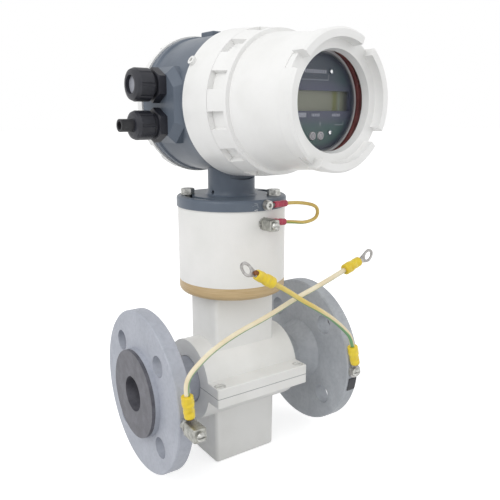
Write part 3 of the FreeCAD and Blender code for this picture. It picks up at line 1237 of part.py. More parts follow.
def jumper_screw():
    """The hexagon screw with its washer in the rim of the swivel disc."""
    washer_end = JUMPER_LUG_Y
    head_base = JUMPER_LUG_Y + JUMPER_LUG["plate"]
    head_top = head_base + JUMPER_HEAD_HEIGHT
    head = hexagon(JUMPER_HEAD_FLATS, head_base, head_top)
    socket = rod(JUMPER_HEAD_FLATS * 0.25, head_top - JUMPER_HEAD_HEIGHT / 2, head_top + 1)
    shank = rod(CAN_SCREW_RADIUS, DISC_RADIUS - JUMPER_SCREW_GRIP, head_base)
    washer = rod(JUMPER_WASHER_RADIUS, DISC_RADIUS, washer_end)
    screw = fused([shank, washer, head]).cut(socket)
    screw = turn(along_front(screw), Z_AXIS, JUMPER_SCREW_ANGLE + 90)
    return on_head(move(screw, z=JUMPER_SCREW_HEIGHT))


# ---------------------------------------------------------------- all pieces

def pieces():
    """Every node's name and shape."""
    inlet_free = free_place(INLET_LEAD_POINTS)
    outlet_free = free_place(OUTLET_LEAD_POINTS)
    lead_lug = lug_shape(LEAD_LUG)
    lead_sleeve = sleeve_shape(LEAD_LUG)
    small_lug = lug_shape(JUMPER_LUG)
    small_sleeve = sleeve_shape(JUMPER_LUG)
    return {
        "inlet_flange": flange(-1),
        "outlet_flange": flange(1),
        "meter_tube": meter_tube(),
        "bore_liner": bore_liner(),
        "inlet_liner_rim": liner_rim(-1),
        "outlet_liner_rim": liner_rim(1),
        "electrodes": electrodes(),
        "pole_cores": pole_cores(),
        "field_coils": field_coils(),
        "magnet_yoke": magnet_yoke(),
        "upper_housing": upper_housing(),
        "lower_housing": lower_housing(),
        "housing_gasket": housing_gasket(),
        "housing_screws": housing_screws(),
        "insulating_ring": insulating_ring(),
        "terminal_can": terminal_can(),
        "can_top_plate": can_top_plate(),
        "swivel_seal": swivel_seal(),
        "swivel_bolts": swivel_bolts(),
        "swivel_washers": swivel_washers(),
        "junction_board": junction_board(),
        "earth_screws": earth_screws(),
        "earth_washers": earth_washers(),
        "earth_clamps": earth_clamps(),
        "jumper_lug_lower": placed(small_lug, *CAN_LUG),
        "jumper_sleeve_lower": placed(small_sleeve, *CAN_LUG),
        "inlet_lug_fixed": placed(lead_lug, *INLET_LUG),
        "inlet_sleeve_fixed": placed(lead_sleeve, *INLET_LUG),
        "inlet_lead": inlet_lead(),
        "inlet_sleeve_free": placed(lead_sleeve, *inlet_free),
        "inlet_lug_free": placed(lead_lug, *inlet_free),
        "outlet_lug_fixed": placed(lead_lug, *OUTLET_LUG),
        "outlet_sleeve_fixed": placed(lead_sleeve, *OUTLET_LUG),
        "outlet_lead": outlet_lead(),
        "outlet_sleeve_free": placed(lead_sleeve, *outlet_free),
        "outlet_lug_free": placed(lead_lug, *outlet_free),
        "converter_housing": converter_housing(),
        "jumper_screw": jumper_screw(),
        "jumper_lug_upper": placed(small_lug, *HEAD_LUG),
        "jumper_sleeve_upper": placed(small_sleeve, *HEAD_LUG),
        "jumper_wire": jumper_wire(),
        "electronics_carrier": electronics_carrier(),
        "display_frame": display_frame(),
        "display_panel": display_panel(),
        "display_lcd": display_lcd(),
        "display_screws": display_screws(),
        "terminal_block": terminal_block(),
        "gland_bodies": gland_bodies(),
        "gland_nut_upper": gland_nut_upper(),
        "gland_plug": gland_plug(),
        "gland_nut_lower": gland_nut_lower(),
        "cable_stub": cable_stub(),
        "front_cover": front_cover(),
        "window_glass": window_glass(),
        "window_gasket": window_gasket(),
        "cover_lock_screw": cover_lock_screw(),
        "front_cover_seal": front_cover_seal(),
        "rear_cover": rear_cover(),
        "rear_cover_seal": rear_cover_seal(),
        "display_key_left": display_key(0),
        "display_key_right": display_key(1),
    }


def build():
    """Write every piece to its own STEP file."""
    os.makedirs("parts", exist_ok=True)
    for name, shape in pieces().items():
        solids = shape.Solids
        if not shape.isValid() or not solids:
            raise ValueError(name + " is not a valid solid")
        whole = solids[0] if len(solids) == 1 else Part.makeCompound(solids)
        whole.exportStep("parts/" + name + ".step")


if __name__ == "__main__":
    build()
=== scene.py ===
"""Looks of a flanged electromagnetic flow meter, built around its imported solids.

Everything is in metres in the frame of the solids: the origin is the centre of the flow bore, +X runs
from the inlet flange to the outlet flange, +Z is up, and the display looks towards -Y.
"""
import json
import math

import bpy
import numpy as np
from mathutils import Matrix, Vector


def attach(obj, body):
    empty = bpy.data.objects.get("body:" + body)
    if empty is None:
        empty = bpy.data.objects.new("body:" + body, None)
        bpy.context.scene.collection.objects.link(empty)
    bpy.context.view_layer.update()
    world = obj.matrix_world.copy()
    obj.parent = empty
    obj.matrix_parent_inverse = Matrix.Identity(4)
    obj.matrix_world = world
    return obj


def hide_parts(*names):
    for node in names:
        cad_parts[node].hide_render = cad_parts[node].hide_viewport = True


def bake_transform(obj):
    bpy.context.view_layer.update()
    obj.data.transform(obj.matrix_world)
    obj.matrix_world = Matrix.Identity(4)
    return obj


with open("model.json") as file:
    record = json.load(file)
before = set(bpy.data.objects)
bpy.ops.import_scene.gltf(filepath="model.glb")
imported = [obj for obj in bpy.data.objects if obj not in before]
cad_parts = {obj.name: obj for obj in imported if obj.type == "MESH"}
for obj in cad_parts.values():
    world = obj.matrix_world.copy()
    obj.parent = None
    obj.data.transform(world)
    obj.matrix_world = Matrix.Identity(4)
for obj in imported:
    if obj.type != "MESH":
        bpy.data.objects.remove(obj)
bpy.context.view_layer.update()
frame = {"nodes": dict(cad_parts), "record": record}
nodes = frame["nodes"]

MM = 0.001
TURN = 2 * math.pi

# the converter head stands turned a little about the upright axis
HEAD_TURN = math.radians(4.0)
HEAD_HEIGHT = 238.2 * MM
FRONT = (0.0, -1.0, 0.0)

# places on the front cover and the display, in millimetres: along the head's axis, or across and up from it
GRIP_BAND = (46.9, 67.2)
DISPLAY_SCREW_ACROSS = 10.2
DISPLAY_SCREW_RISE = 21.4
KEYS_ACROSS = (-7.0, 1.0)
KEY_RISE = -23.6
BLOCK_WIDTH = 1.75
CELL_WIDTH = 3.0
CELL_MIDDLE = 0.9

# where the casting's paint is chipped, beside the earth screw of the head
CHIPPED_PLACE = (-7.8 * MM, -50.5 * MM, 155.6 * MM)
CHIPPED_RADIUS = 6.2 * MM

# radians per metre of the liner's turning marks
TURNING_MARKS = 9000.0

DUST = (120, 116, 110)
PRINT_GREY = (170, 173, 186)


# ---------------------------------------------------------------- finishes

class Wire:
    """One number, colour or vector in a material's node tree. Arithmetic on numbers adds Math nodes."""

    def __init__(self, finish, socket):
        self.finish = finish
        self.socket = socket

    def _math(self, operation, first, second):
        return self.finish.node("ShaderNodeMath", {"operation": operation}, {0: first, 1: second})

    def __add__(self, other):
        return self._math("ADD", self, other)

    def __radd__(self, other):
        return self._math("ADD", other, self)

    def __sub__(self, other):
        return self._math("SUBTRACT", self, other)

    def __rsub__(self, other):
        return self._math("SUBTRACT", other, self)

    def __mul__(self, other):
        return self._math("MULTIPLY", self, other)

    def __rmul__(self, other):
        return self._math("MULTIPLY", other, self)

    def __truediv__(self, other):
        return self._math("DIVIDE", self, other)

    def __pow__(self, other):
        return self._math("POWER", self, other)

    def __gt__(self, other):
        return self._math("GREATER_THAN", self, other)

    def __lt__(self, other):
        return self._math("LESS_THAN", self, other)

    def low(self, other):
        """The smaller of the two."""
        return self._math("MINIMUM", self, other)

    def step(self, start, end):
        """0 below start, 1 above end, and a smooth ramp between."""
        settings = {"interpolation_type": "SMOOTHSTEP", "clamp": True}
        inputs = {"Value": self, "From Min": start, "From Max": end}
        return self.finish.node("ShaderNodeMapRange", settings, inputs)

    def within(self, low, high, soft):
        """1 between low and high and 0 outside, with edges soft wide."""
        return self.step(low - soft, low + soft) * self.step(high + soft, high - soft)

    def absolute(self):
        """The number without its sign."""
        return self._math("ABSOLUTE", self, 0.0)

    def fraction(self):
        """What is left of the number above its whole part."""
        return self._math("FRACT", self, 0.0)

    def sine(self):
        """The sine of the number, in radians."""
        return self._math("SINE", self, 0.0)


class Finish:
    """One material: a Principled surface and the nodes that vary its colour, roughness and relief."""

    def __init__(self, name, colour, roughness, **fixed):
        self.slot = name
        self.material = bpy.data.materials.new(name + "_finish")
        self.material.use_nodes = True
        self.tree = self.material.node_tree
        self.shader = self.tree.nodes["Principled BSDF"]
        self.colour(colour)
        self.shader.inputs["Roughness"].default_value = roughness
        for socket, value in fixed.items():
            self.shader.inputs[socket.replace("_", " ")].default_value = value

    def node(self, kind, settings, inputs, output=0):
        """Add a node: settings go on the node, inputs on its sockets; gives one of its outputs."""
        made = self.tree.nodes.new(kind)
        for name, value in settings.items():
            if name == "stops":
                self._stops(made, value)
            else:
                setattr(made, name, value)
        for key, value in inputs.items():
            if isinstance(value, Wire):
                self.tree.links.new(value.socket, made.inputs[key])
            else:
                made.inputs[key].default_value = value
        return Wire(self, made.outputs[output])

    @staticmethod
    def _stops(ramp, stops):
        elements = ramp.color_ramp.elements
        while len(elements) < len(stops):
            elements.new(0.5)
        for element, (position, colour) in zip(elements, stops):
            element.position = position
            element.color = (*linear(colour), 1.0)

    def place(self):
        """Object coordinates, in metres."""
        return self.node("ShaderNodeTexCoord", {}, {}, "Object")

    def axis(self, name):
        """One of the Object coordinates: X, Y or Z."""
        return self.node("ShaderNodeSeparateXYZ", {}, {0: self.place()}, name)

    def stretched(self, scale):
        """Object coordinates, scaled along each axis."""
        inputs = {"Vector": self.place(), "Scale": scale}
        return self.node("ShaderNodeMapping", {"vector_type": "POINT"}, inputs)

    def noise(self, size, detail=3.0, roughness=0.5, place=None, distortion=0.0):
        """Soft noise whose grains are about size metres across."""
        inputs = {"Vector": place or self.place(), "Scale": 1.0 / size, "Detail": detail,
                  "Roughness": roughness, "Distortion": distortion}
        return self.node("ShaderNodeTexNoise", {}, inputs)

    def speckle(self, size):
        """Distance to the nearest of scattered points about size metres apart."""
        return self.node("ShaderNodeTexVoronoi", {}, {"Vector": self.place(), "Scale": 1.0 / size})

    def mixed(self, factor, first, second):
        """A colour between two colours."""
        inputs = {"Factor": factor}
        for key, value in ((6, first), (7, second)):
            inputs[key] = value if isinstance(value, Wire) else (*linear(value), 1.0)
        return self.node("ShaderNodeMix", {"data_type": "RGBA"}, inputs, 2)

    def colour(self, value):
        """Set or link the base colour."""
        if isinstance(value, Wire):
            self.tree.links.new(value.socket, self.shader.inputs["Base Color"])
        else:
            self.shader.inputs["Base Color"].default_value = (*linear(value), 1.0)
        return self

    def roughness(self, value):
        """Link the roughness."""
        self.tree.links.new(value.socket, self.shader.inputs["Roughness"])
        return self

    def link(self, socket, value):
        """Link any other socket of the surface that may vary."""
        self.tree.links.new(value.socket, self.shader.inputs[socket])
        return self

    def relief(self, height, depth):
        """Bump the surface by a height between 0 and 1 that stands for depth metres."""
        inputs = {"Height": height, "Distance": depth, "Strength": 1.0}
        bump = self.node("ShaderNodeBump", {}, inputs, "Normal")
        self.tree.links.new(bump.socket, self.shader.inputs["Normal"])
        return self


def linear(colour):
    """A display colour, 0 to 255, as linear light."""
    shares = [value / 255 for value in colour]
    return [share / 12.92 if share <= 0.04045 else ((share + 0.055) / 1.055) ** 2.4 for share in shares]


def sprayed(finish, white, shade, roughness, dustiness):
    """Tone a sprayed enamel: faint wide clouds, a few dust specks, and a gloss that follows the clouds."""
    cloud = finish.noise(0.045, 4.0, 0.55)
    dust = finish.speckle(0.016).step(0.035, 0.02) * finish.noise(0.03, 2.0).step(0.52, 0.6)
    toned = finish.mixed(cloud.step(0.35, 0.75), white, shade)
    finish.colour(finish.mixed(dust * dustiness, toned, DUST))
    finish.roughness(cloud * 0.12 + roughness)


def orange_peel(finish):
    """The fine ripple of sprayed enamel."""
    return finish.noise(0.0016, 2.0, 0.6)


def enamel(name, white, shade, roughness, peel):
    """Sprayed enamel: faint cloudy toning, a few dust specks and a fine orange-peel relief."""
    finish = Finish(name, white, roughness, Coat_Weight=0.12)
    sprayed(finish, white, shade, roughness - 0.06, 0.35)
    return finish.relief(orange_peel(finish), peel)


def casting_paint():
    """Grey enamel over a die casting: faint clouds, a few pale scuffs and a soft, slightly wavy gloss."""
    finish = Finish("grey_casting", (96, 105, 117), 0.38, Specular_IOR_Level=0.25)
    cloud = finish.noise(0.03, 4.0, 0.55)
    scuffs = finish.noise(0.006, 5.0, 0.7, distortion=1.2).step(0.66, 0.74)
    scuffs = scuffs * finish.noise(0.04, 2.0).step(0.5, 0.62)
    toned = finish.mixed(cloud.step(0.35, 0.75), (98, 107, 119), (88, 97, 109))
    toned = finish.mixed(scuffs * 0.25, toned, (136, 144, 154))
    chips = finish.noise(0.0016, 3.0, 0.6).step(0.56, 0.62) * nearness(finish, CHIPPED_PLACE, CHIPPED_RADIUS)
    finish.colour(finish.mixed(chips, toned, (226, 227, 226)))
    finish.roughness(cloud * 0.12 + 0.3)
    return finish.relief(finish.noise(0.0022, 2.0, 0.6), 0.00006)


def flange_paint(name, light, dark, deep, roughness):
    """Thick brushed paint over a sand-cast face: cloudy mottling in two sizes, pits and a grainy relief."""
    finish = Finish(name, light, roughness)
    cloud = finish.noise(0.028, 5.0, 0.62, distortion=0.4)
    grain = finish.noise(0.0032, 4.0, 0.6)
    pits = finish.speckle(0.0085).step(0.09, 0.03) * finish.noise(0.02, 2.0).step(0.5, 0.62)
    toned = finish.mixed(cloud.step(0.3, 0.72), light, dark)
    grained = finish.mixed(grain.step(0.35, 0.8) * 0.35, toned, deep)
    finish.colour(finish.mixed(pits * 0.5, grained, deep))
    finish.roughness(grain * 0.25 + (roughness - 0.12))
    return finish.relief(grain * 0.7 + cloud * 0.5 - pits * 0.4, 0.00022)


def plated(name, colour, dark, roughness):
    """Zinc or nickel plating: dull clouds and fine scratches."""
    finish = Finish(name, colour, roughness, Metallic=0.9)
    cloud = finish.noise(0.0035, 4.0, 0.6)
    finish.colour(finish.mixed(cloud.step(0.35, 0.7), colour, dark))
    finish.roughness(cloud * 0.3 + (roughness - 0.12))
    return finish.relief(finish.noise(0.0008, 3.0, 0.6), 0.00004)


def moulded(name, colour, dark, roughness, grain=0.0009, depth=0.00003, **fixed):
    """Moulded plastic or rubber: faint toning and a fine moulded grain."""
    finish = Finish(name, colour, roughness, **fixed)
    cloud = finish.noise(0.01, 3.0, 0.5)
    finish.colour(finish.mixed(cloud.step(0.35, 0.75), colour, dark))
    finish.roughness(cloud * 0.15 + (roughness - 0.07))
    return finish.relief(finish.noise(grain, 2.0, 0.6), depth)


def pressed_resin():
    """Tan laminate: fine layers edge on, with soft streaks round the ring."""
    finish = Finish("tan_resin", (192, 168, 128), 0.42)
    layers = finish.noise(0.02, 4.0, 0.6, place=finish.stretched((1.0, 1.0, 30.0)))
    streaks = finish.noise(0.012, 3.0, 0.55, place=finish.stretched((0.6, 0.6, 8.0)))
    toned = finish.mixed(layers.step(0.3, 0.7), (198, 174, 134), (180, 154, 112))
    finish.colour(finish.mixed(streaks.step(0.55, 0.8) * 0.5, toned, (210, 190, 152)))
    return finish.relief(layers, 0.00006)


def liner_skin():
    """Hard grey lining: cloudy, with fine turning marks round the bore."""
    finish = Finish("liner", (88, 88, 95), 0.5)
    cloud = finish.noise(0.012, 5.0, 0.65)
    across = finish.stretched((0.0, 1.0, 1.0))
    radius = finish.node("ShaderNodeVectorMath", {"operation": "LENGTH"}, {0: across}, 1)
    rings = (radius * TURNING_MARKS).sine()
    finish.colour(finish.mixed(cloud.step(0.3, 0.75), (78, 78, 85), (108, 108, 115)))
    finish.roughness(cloud * 0.2 + 0.42)
    return finish.relief(cloud * 0.6 + rings * 0.12, 0.0001)


def head_reach(finish):
    """Millimetres along the axis of the head, towards the side that its display looks to."""
    return finish.axis("X") * (1000 * math.sin(HEAD_TURN)) - finish.axis("Y") * (1000 * math.cos(HEAD_TURN))


def nearness(finish, point, radius):
    """1 at a point in metres and 0 from the radius outwards."""
    offset = finish.node("ShaderNodeVectorMath", {"operation": "DISTANCE"}, {0: finish.place(), 1: point}, 1)
    return offset.step(radius, 0.4 * radius)


def cover_paint():
    """White enamel of the front cover, with the soft step along both edges of its grip band."""
    finish = Finish("cover_enamel", (235, 235, 234), 0.36, Coat_Weight=0.1)
    sprayed(finish, (236, 236, 235), (228, 228, 226), 0.3, 0.45)
    band = head_reach(finish).within(*GRIP_BAND, 0.5)
    return finish.relief(band + orange_peel(finish) * 0.12, 0.0005)


def display_places(finish):
    """Millimetres across the display to its right, and up from its axis."""
    across = finish.axis("X") * (1000 * math.cos(HEAD_TURN)) + finish.axis("Y") * (1000 * math.sin(HEAD_TURN))
    return across, (finish.axis("Z") - HEAD_HEIGHT) * 1000


def display_film():
    """The printed film of the display: dark slate, greener to the right and the bottom, with a darker border.
    The print is plain: rows of small blocks, a thin frame round one, a filled tab and a bracket."""
    finish = Finish("panel_film", (62, 68, 82), 0.45)
    across, rise = display_places(finish)
    grain = finish.noise(0.0011, 2.0, 0.6)
    cloud = finish.noise(0.014, 3.0, 0.55)
    toned = finish.mixed(rise.step(17.0, 11.0), (68, 78, 92), (82, 86, 108))
    toned = finish.mixed(rise.step(-9.0, -19.0), toned, (58, 92, 88))
    toned = finish.mixed(across.step(6.0, 24.0) * rise.step(6.0, 16.0) * 0.7, toned, (62, 88, 92))
    toned = finish.mixed((across * across + rise * rise).step(820.0, 1060.0), toned, (48, 54, 74))
    toned = finish.mixed(cloud.step(0.4, 0.75) * 0.3, toned, (96, 102, 116))

    def patch(left, right, bottom, top, across_soft=0.1, rise_soft=0.12):
        return across.within(left, right, across_soft) * rise.within(bottom, top, rise_soft)

    blocks = (across / BLOCK_WIDTH).fraction().within(0.14, 0.86, 0.08)
    row = patch(-15.8, 5.9, 19.7, 22.2, 0.1, 0.15) * blocks
    labels = (patch(-8.0, 0.3, -10.0, -8.0, 0.1, 0.15) + patch(12.5, 20.9, -10.0, -8.0, 0.1, 0.15)) * blocks
    tab = patch(-24.5, -13.4, -10.5, -7.4, 0.15, 0.15)
    frame_lines = patch(-17.9, 7.8, 15.0, 15.5) + patch(7.4, 7.9, 15.2, 19.0, 0.12, 0.1)
    cross = patch(0.2, 0.8, -16.6, -13.6, 0.15, 0.1) + patch(-0.5, 1.5, -15.4, -14.9)
    bracket = patch(15.3, 24.4, -16.2, -15.7) + patch(23.9, 24.4, -16.0, -13.4, 0.12, 0.1)
    thin = (frame_lines + bracket + cross).low(1.0)
    printed = (row + labels * 0.9 + tab + thin * 0.7).low(0.95)
    toned = finish.mixed(printed, toned, PRINT_GREY)
    finish.colour(finish.mixed(grain.step(0.4, 0.75) * 0.3, toned, (118, 124, 134)))
    return finish.relief(grain, 0.00002)


def display_crystal():
    """The reflective olive display glass: it fades to the right, past a yellow-green band and a pale line,
    and shows two faint rows of cells."""
    finish = Finish("lcd_glass", (132, 134, 108), 0.3)
    across, rise = display_places(finish)
    grain = finish.noise(0.0011, 2.0, 0.6)
    columns = (across / CELL_WIDTH).fraction().within(0.12, 0.88, 0.06)
    cells = columns * (rise - CELL_MIDDLE).absolute().within(0.5, 5.6, 0.2)
    toned = finish.mixed(across.step(-28.0, 14.0), (142, 144, 130), (130, 133, 118))
    toned = finish.mixed(across.within(14.6, 19.4, 1.2) * 0.85, toned, (112, 116, 56))
    toned = finish.mixed(across.within(20.8, 22.6, 0.4) * 0.8, toned, (132, 152, 136))
    toned = finish.mixed(across.step(23.5, 28.5), toned, (74, 78, 80))
    toned = finish.mixed(cells * 0.12, toned, (84, 88, 74))
    finish.colour(finish.mixed(grain.step(0.35, 0.75) * 0.3, toned, (158, 160, 138)))
    return finish


def display_ring():
    """The metal ring round the display: dull grey, with a painted highlight, a near-white line, along its
    outer edge.
    """
    finish = Finish("frame_metal", (150, 154, 160), 0.3, Metallic=0.3)
    across, rise = display_places(finish)
    away = (across * across + rise * rise) ** 0.5
    toned = finish.mixed(away.step(33.3, 34.2), (92, 98, 108), (160, 164, 170))
    # painted highlight: a near-white line along the outer edge of the ring
    finish.colour(finish.mixed(away.step(34.7, 35.0), toned, (250, 251, 252)))
    return finish.relief(finish.noise(0.0008, 2.0, 0.5), 0.00002)


def screw_glint():
    """Small dark grey screw heads, each with a painted glint: a near-white spot at its middle."""
    finish = Finish("display_screws", (120, 124, 130), 0.25, Metallic=0.6)
    across, rise = display_places(finish)
    aside, up = across - DISPLAY_SCREW_ACROSS, rise.absolute() - DISPLAY_SCREW_RISE
    away = (aside * aside + up * up) ** 0.5
    # painted glint: a near-white spot at the middle of each screw head, dark grey round it
    finish.colour(finish.mixed(away.step(0.9, 1.4), (250, 252, 252), (96, 104, 112)))
    return finish.relief(finish.noise(0.0006, 2.0, 0.5), 0.00002)


def window_pane():
    """Clear glass that only glints."""
    return Finish("window_glass", (30, 36, 34), 0.03, Alpha=0.07, IOR=1.5)


def key_cap():
    """A pale key with a dark dot and a thin dark ring printed round it."""
    finish = Finish("key_plastic", (176, 172, 178), 0.4)
    across, rise = display_places(finish)
    left, right = KEYS_ACROSS
    aside, up = (across - left).absolute().low((across - right).absolute()), rise - KEY_RISE
    away = (aside * aside + up * up) ** 0.5
    marks = away.within(1.35, 1.95, 0.15) * 0.8 + away.step(0.75, 0.4) * 0.7
    cloud = finish.noise(0.0012, 3.0, 0.6)
    toned = finish.mixed(cloud.step(0.35, 0.75), (212, 208, 212), (176, 176, 182))
    finish.colour(finish.mixed(marks.low(0.85), toned, (66, 70, 84)))
    return finish


WHITE_COVER = cover_paint()
WHITE_CAN = enamel("can_enamel", (233, 232, 230), (225, 225, 222), 0.48, 0.00005)
WHITE_HOUSING = enamel("housing_enamel", (230, 230, 228), (221, 221, 218), 0.46, 0.00008)
GREY_CASTING = casting_paint()
INLET_PAINT = flange_paint("inlet_flange_paint", (176, 180, 190), (164, 168, 178), (143, 147, 157), 0.52)
OUTLET_PAINT = flange_paint("outlet_flange_paint", (180, 184, 189), (163, 167, 173), (138, 143, 150), 0.5)
BRIGHT_STEEL = plated("bright_steel", (196, 196, 192), (150, 150, 146), 0.34)
CLAMP_STEEL = plated("clamp_steel", (178, 178, 172), (138, 138, 132), 0.42)
TINNED = plated("tinned_lug", (178, 176, 174), (146, 143, 140), 0.36)
TUBE_STEEL = plated("tube_steel", (180, 182, 184), (150, 152, 156), 0.3)
SOFT_IRON = plated("soft_iron", (100, 100, 104), (70, 70, 74), 0.5)
CAN_METAL = plated("can_metal", (192, 194, 197), (160, 162, 166), 0.34)
FRAME_METAL = display_ring()
COPPER = plated("copper_coil", (172, 96, 48), (132, 66, 30), 0.4)
GLAND_NYLON = moulded("gland_plastic", (36, 37, 45), (28, 29, 36), 0.46)
BLACK_RUBBER = moulded("black_rubber", (42, 42, 45), (30, 30, 33), 0.55)
RED_GASKET = moulded("red_gasket", (140, 80, 78), (112, 60, 60), 0.5)
BLACK_PLASTIC = moulded("black_plastic", (46, 46, 49), (36, 36, 38), 0.5)
GREY_PLASTIC = moulded("grey_plastic", (122, 124, 126), (104, 106, 108), 0.5)
PLUG_PLASTIC = moulded("plug_plastic", (158, 160, 168), (132, 134, 142), 0.5)
KEY_PLASTIC = key_cap()
YELLOW_SLEEVE = moulded("yellow_sleeve", (233, 208, 56), (220, 188, 40), 0.36)
RED_SLEEVE = moulded("red_sleeve", (178, 52, 78), (150, 34, 58), 0.36)
BOARD = moulded("circuit_board", (40, 92, 60), (30, 74, 48), 0.45)
TAN_RESIN = pressed_resin()
LINER = liner_skin()
PANEL_FILM = display_film()
LCD_GLASS = display_crystal()
WINDOW_GLASS = window_pane()
DISPLAY_SCREWS = screw_glint()
PAINTED_SCREWS = moulded("housing_screws", (224, 224, 221), (204, 205, 202), 0.5)
PALE_GASKET = moulded("housing_gasket", (150, 152, 153), (128, 130, 132), 0.6)
DARK_COPPER = moulded("wire_end", (136, 84, 42), (66, 40, 26), 0.45, grain=0.0006, depth=0.0002, Metallic=0.4)
PRINTED_PLATE = moulded("rim_plate", (34, 35, 40), (48, 50, 56), 0.5)

FINISHES = {finish.slot: finish for finish in (
    WHITE_COVER, WHITE_CAN, WHITE_HOUSING, GREY_CASTING, INLET_PAINT, OUTLET_PAINT, BRIGHT_STEEL, CLAMP_STEEL,
    TINNED, TUBE_STEEL, SOFT_IRON, CAN_METAL, FRAME_METAL, COPPER, GLAND_NYLON, BLACK_RUBBER, RED_GASKET,
    BLACK_PLASTIC, GREY_PLASTIC, PLUG_PLASTIC, KEY_PLASTIC, YELLOW_SLEEVE, RED_SLEEVE, BOARD, TAN_RESIN,
    LINER, PANEL_FILM, LCD_GLASS, WINDOW_GLASS)}
NODE_FINISHES = {finish.slot: finish for finish in (DISPLAY_SCREWS, PAINTED_SCREWS, PALE_GASKET)}


def dress_nodes():
    """Give every solid its own finish, or else that of its material."""
    for entry in frame["record"]["subparts"]:
        finish = NODE_FINISHES.get(entry["node"]) or FINISHES.get(entry["material_slot"])
        if finish:
            mesh = nodes[entry["node"]].data
            mesh.materials.clear()
            mesh.materials.append(finish.material)


# ---------------------------------------------------------------- camera, light and floor

FLOOR_HEIGHT = -78.6 * MM
SURROUND_LIGHT = 0.76
FLOOR_GLOW = 0.62
FLOOR_SIDE = 12.0
CAMERA_PLACE = (-0.2815, -0.4402, 0.2289)
CAMERA_YAW = 0.600
CAMERA_PITCH = -0.221
LENS = 43.1
FILM_WIDTH = 36.0
LAMP_AIM = (0, 0, 0.12)


def set_camera():
    """The camera looks down a little, from the inlet side of the display."""
    level = math.cos(CAMERA_PITCH)
    forward = Vector((math.sin(CAMERA_YAW) * level, math.cos(CAMERA_YAW) * level, math.sin(CAMERA_PITCH)))
    data = bpy.data.cameras.new("camera")
    data.lens = LENS
    data.sensor_width = FILM_WIDTH
    camera = bpy.data.objects.new("camera", data)
    camera.location = CAMERA_PLACE
    camera.rotation_euler = forward.to_track_quat("-Z", "Y").to_euler()
    bpy.context.scene.collection.objects.link(camera)
    bpy.context.scene.camera = camera


def soft_lamp(name, place, size, power):
    """A square soft box that looks at the middle of the object."""
    data = bpy.data.lights.new(name, "AREA")
    data.size = size
    data.energy = power
    lamp = bpy.data.objects.new(name, data)
    lamp.location = place
    lamp.rotation_euler = (Vector(LAMP_AIM) - Vector(place)).to_track_quat("-Z", "Y").to_euler()
    bpy.context.scene.collection.objects.link(lamp)


def eye_level(tree, low, high):
    """A strength that is high where the camera, a mirror or a pane sees the surface, and low where the
    surface only gives light."""
    path = tree.nodes.new("ShaderNodeLightPath")
    seen = path.outputs["Is Camera Ray"]
    for other in ("Is Glossy Ray", "Is Transmission Ray"):
        either = tree.nodes.new("ShaderNodeMath")
        either.operation = "MAXIMUM"
        tree.links.new(seen, either.inputs[0])
        tree.links.new(path.outputs[other], either.inputs[1])
        seen = either.outputs[0]
    level = tree.nodes.new("ShaderNodeMapRange")
    level.inputs["To Min"].default_value = low
    level.inputs["To Max"].default_value = high
    tree.links.new(seen, level.inputs["Value"])
    return level.outputs[0]


def set_stage():
    """A pale floor with the object's soft shadow, under a white surround."""
    world = bpy.data.worlds.new("surround")
    world.use_nodes = True
    background = world.node_tree.nodes["Background"]
    background.inputs["Color"].default_value = (1.0, 1.0, 1.0, 1.0)
    level = eye_level(world.node_tree, SURROUND_LIGHT, 1.0)
    world.node_tree.links.new(level, background.inputs["Strength"])
    bpy.context.scene.world = world

    signs = ((-1, -1), (1, -1), (1, 1), (-1, 1))
    corners = [(x * FLOOR_SIDE, y * FLOOR_SIDE, FLOOR_HEIGHT) for x, y in signs]
    mesh = bpy.data.meshes.new("floor")
    mesh.from_pydata(corners, [], [(0, 1, 2, 3)])
    floor = bpy.data.objects.new("floor", mesh)
    bpy.context.scene.collection.objects.link(floor)
    paper = Finish("floor_paper", (215, 215, 215), 0.9, Emission_Strength=1.0, Specular_IOR_Level=0.0)
    glow = Wire(paper, eye_level(paper.tree, 0.0, FLOOR_GLOW))
    paper.link("Emission Color", paper.node("ShaderNodeCombineColor", {}, {0: glow, 1: glow, 2: glow}))
    mesh.materials.append(paper.material)
    soft_lamp("key", (-1.35, -0.6, 1.35), 1.3, 15)
    soft_lamp("fill", (1.2, -1.0, 0.6), 1.2, 3.5)


# ---------------------------------------------------------------- shapes

def unit(vector):
    """A vector, or each row of vectors, at length one."""
    vector = np.asarray(vector, float)
    return vector / np.linalg.norm(vector, axis=-1, keepdims=True)


def signed_volume(points, faces):
    """Six times the volume that faces enclose, positive where they look outwards: each face is a fan of
    triangles, and first corner . (second corner x third corner) is summed over them."""
    total = 0.0
    for sides in {len(face) for face in faces}:
        ring = points[np.array([face for face in faces if len(face) == sides])]
        for corner in range(1, sides - 1):
            total += np.einsum("ij,ij->i", ring[:, 0], np.cross(ring[:, corner], ring[:, corner + 1])).sum()
    return total


def make_piece(name, points, faces, finish, smooth=True):
    """A closed mesh piece with its faces turned outwards."""
    points = np.asarray(points, float)
    if signed_volume(points, faces) < 0:
        faces = [face[::-1] for face in faces]
    mesh = bpy.data.meshes.new(name)
    mesh.from_pydata(points.tolist(), [], faces)
    mesh.polygons.foreach_set("use_smooth", [smooth] * len(faces))
    mesh.materials.append(finish.material)
    piece = bpy.data.objects.new(name, mesh)
    bpy.context.scene.collection.objects.link(piece)
    return piece


def ring_faces(count, around):
    """Quads between count rings of around points each, and a flat face over each end."""
    row, column = np.meshgrid(np.arange(count - 1), np.arange(around), indexing="ij")
    beside = (column + 1) % around
    quads = np.stack([row * around + column, row * around + beside, (row + 1) * around + beside,
                      (row + 1) * around + column], axis=-1).reshape(-1, 4)
    ends = [list(range(around))[::-1], list(range((count - 1) * around, count * around))]
    return quads.tolist() + ends


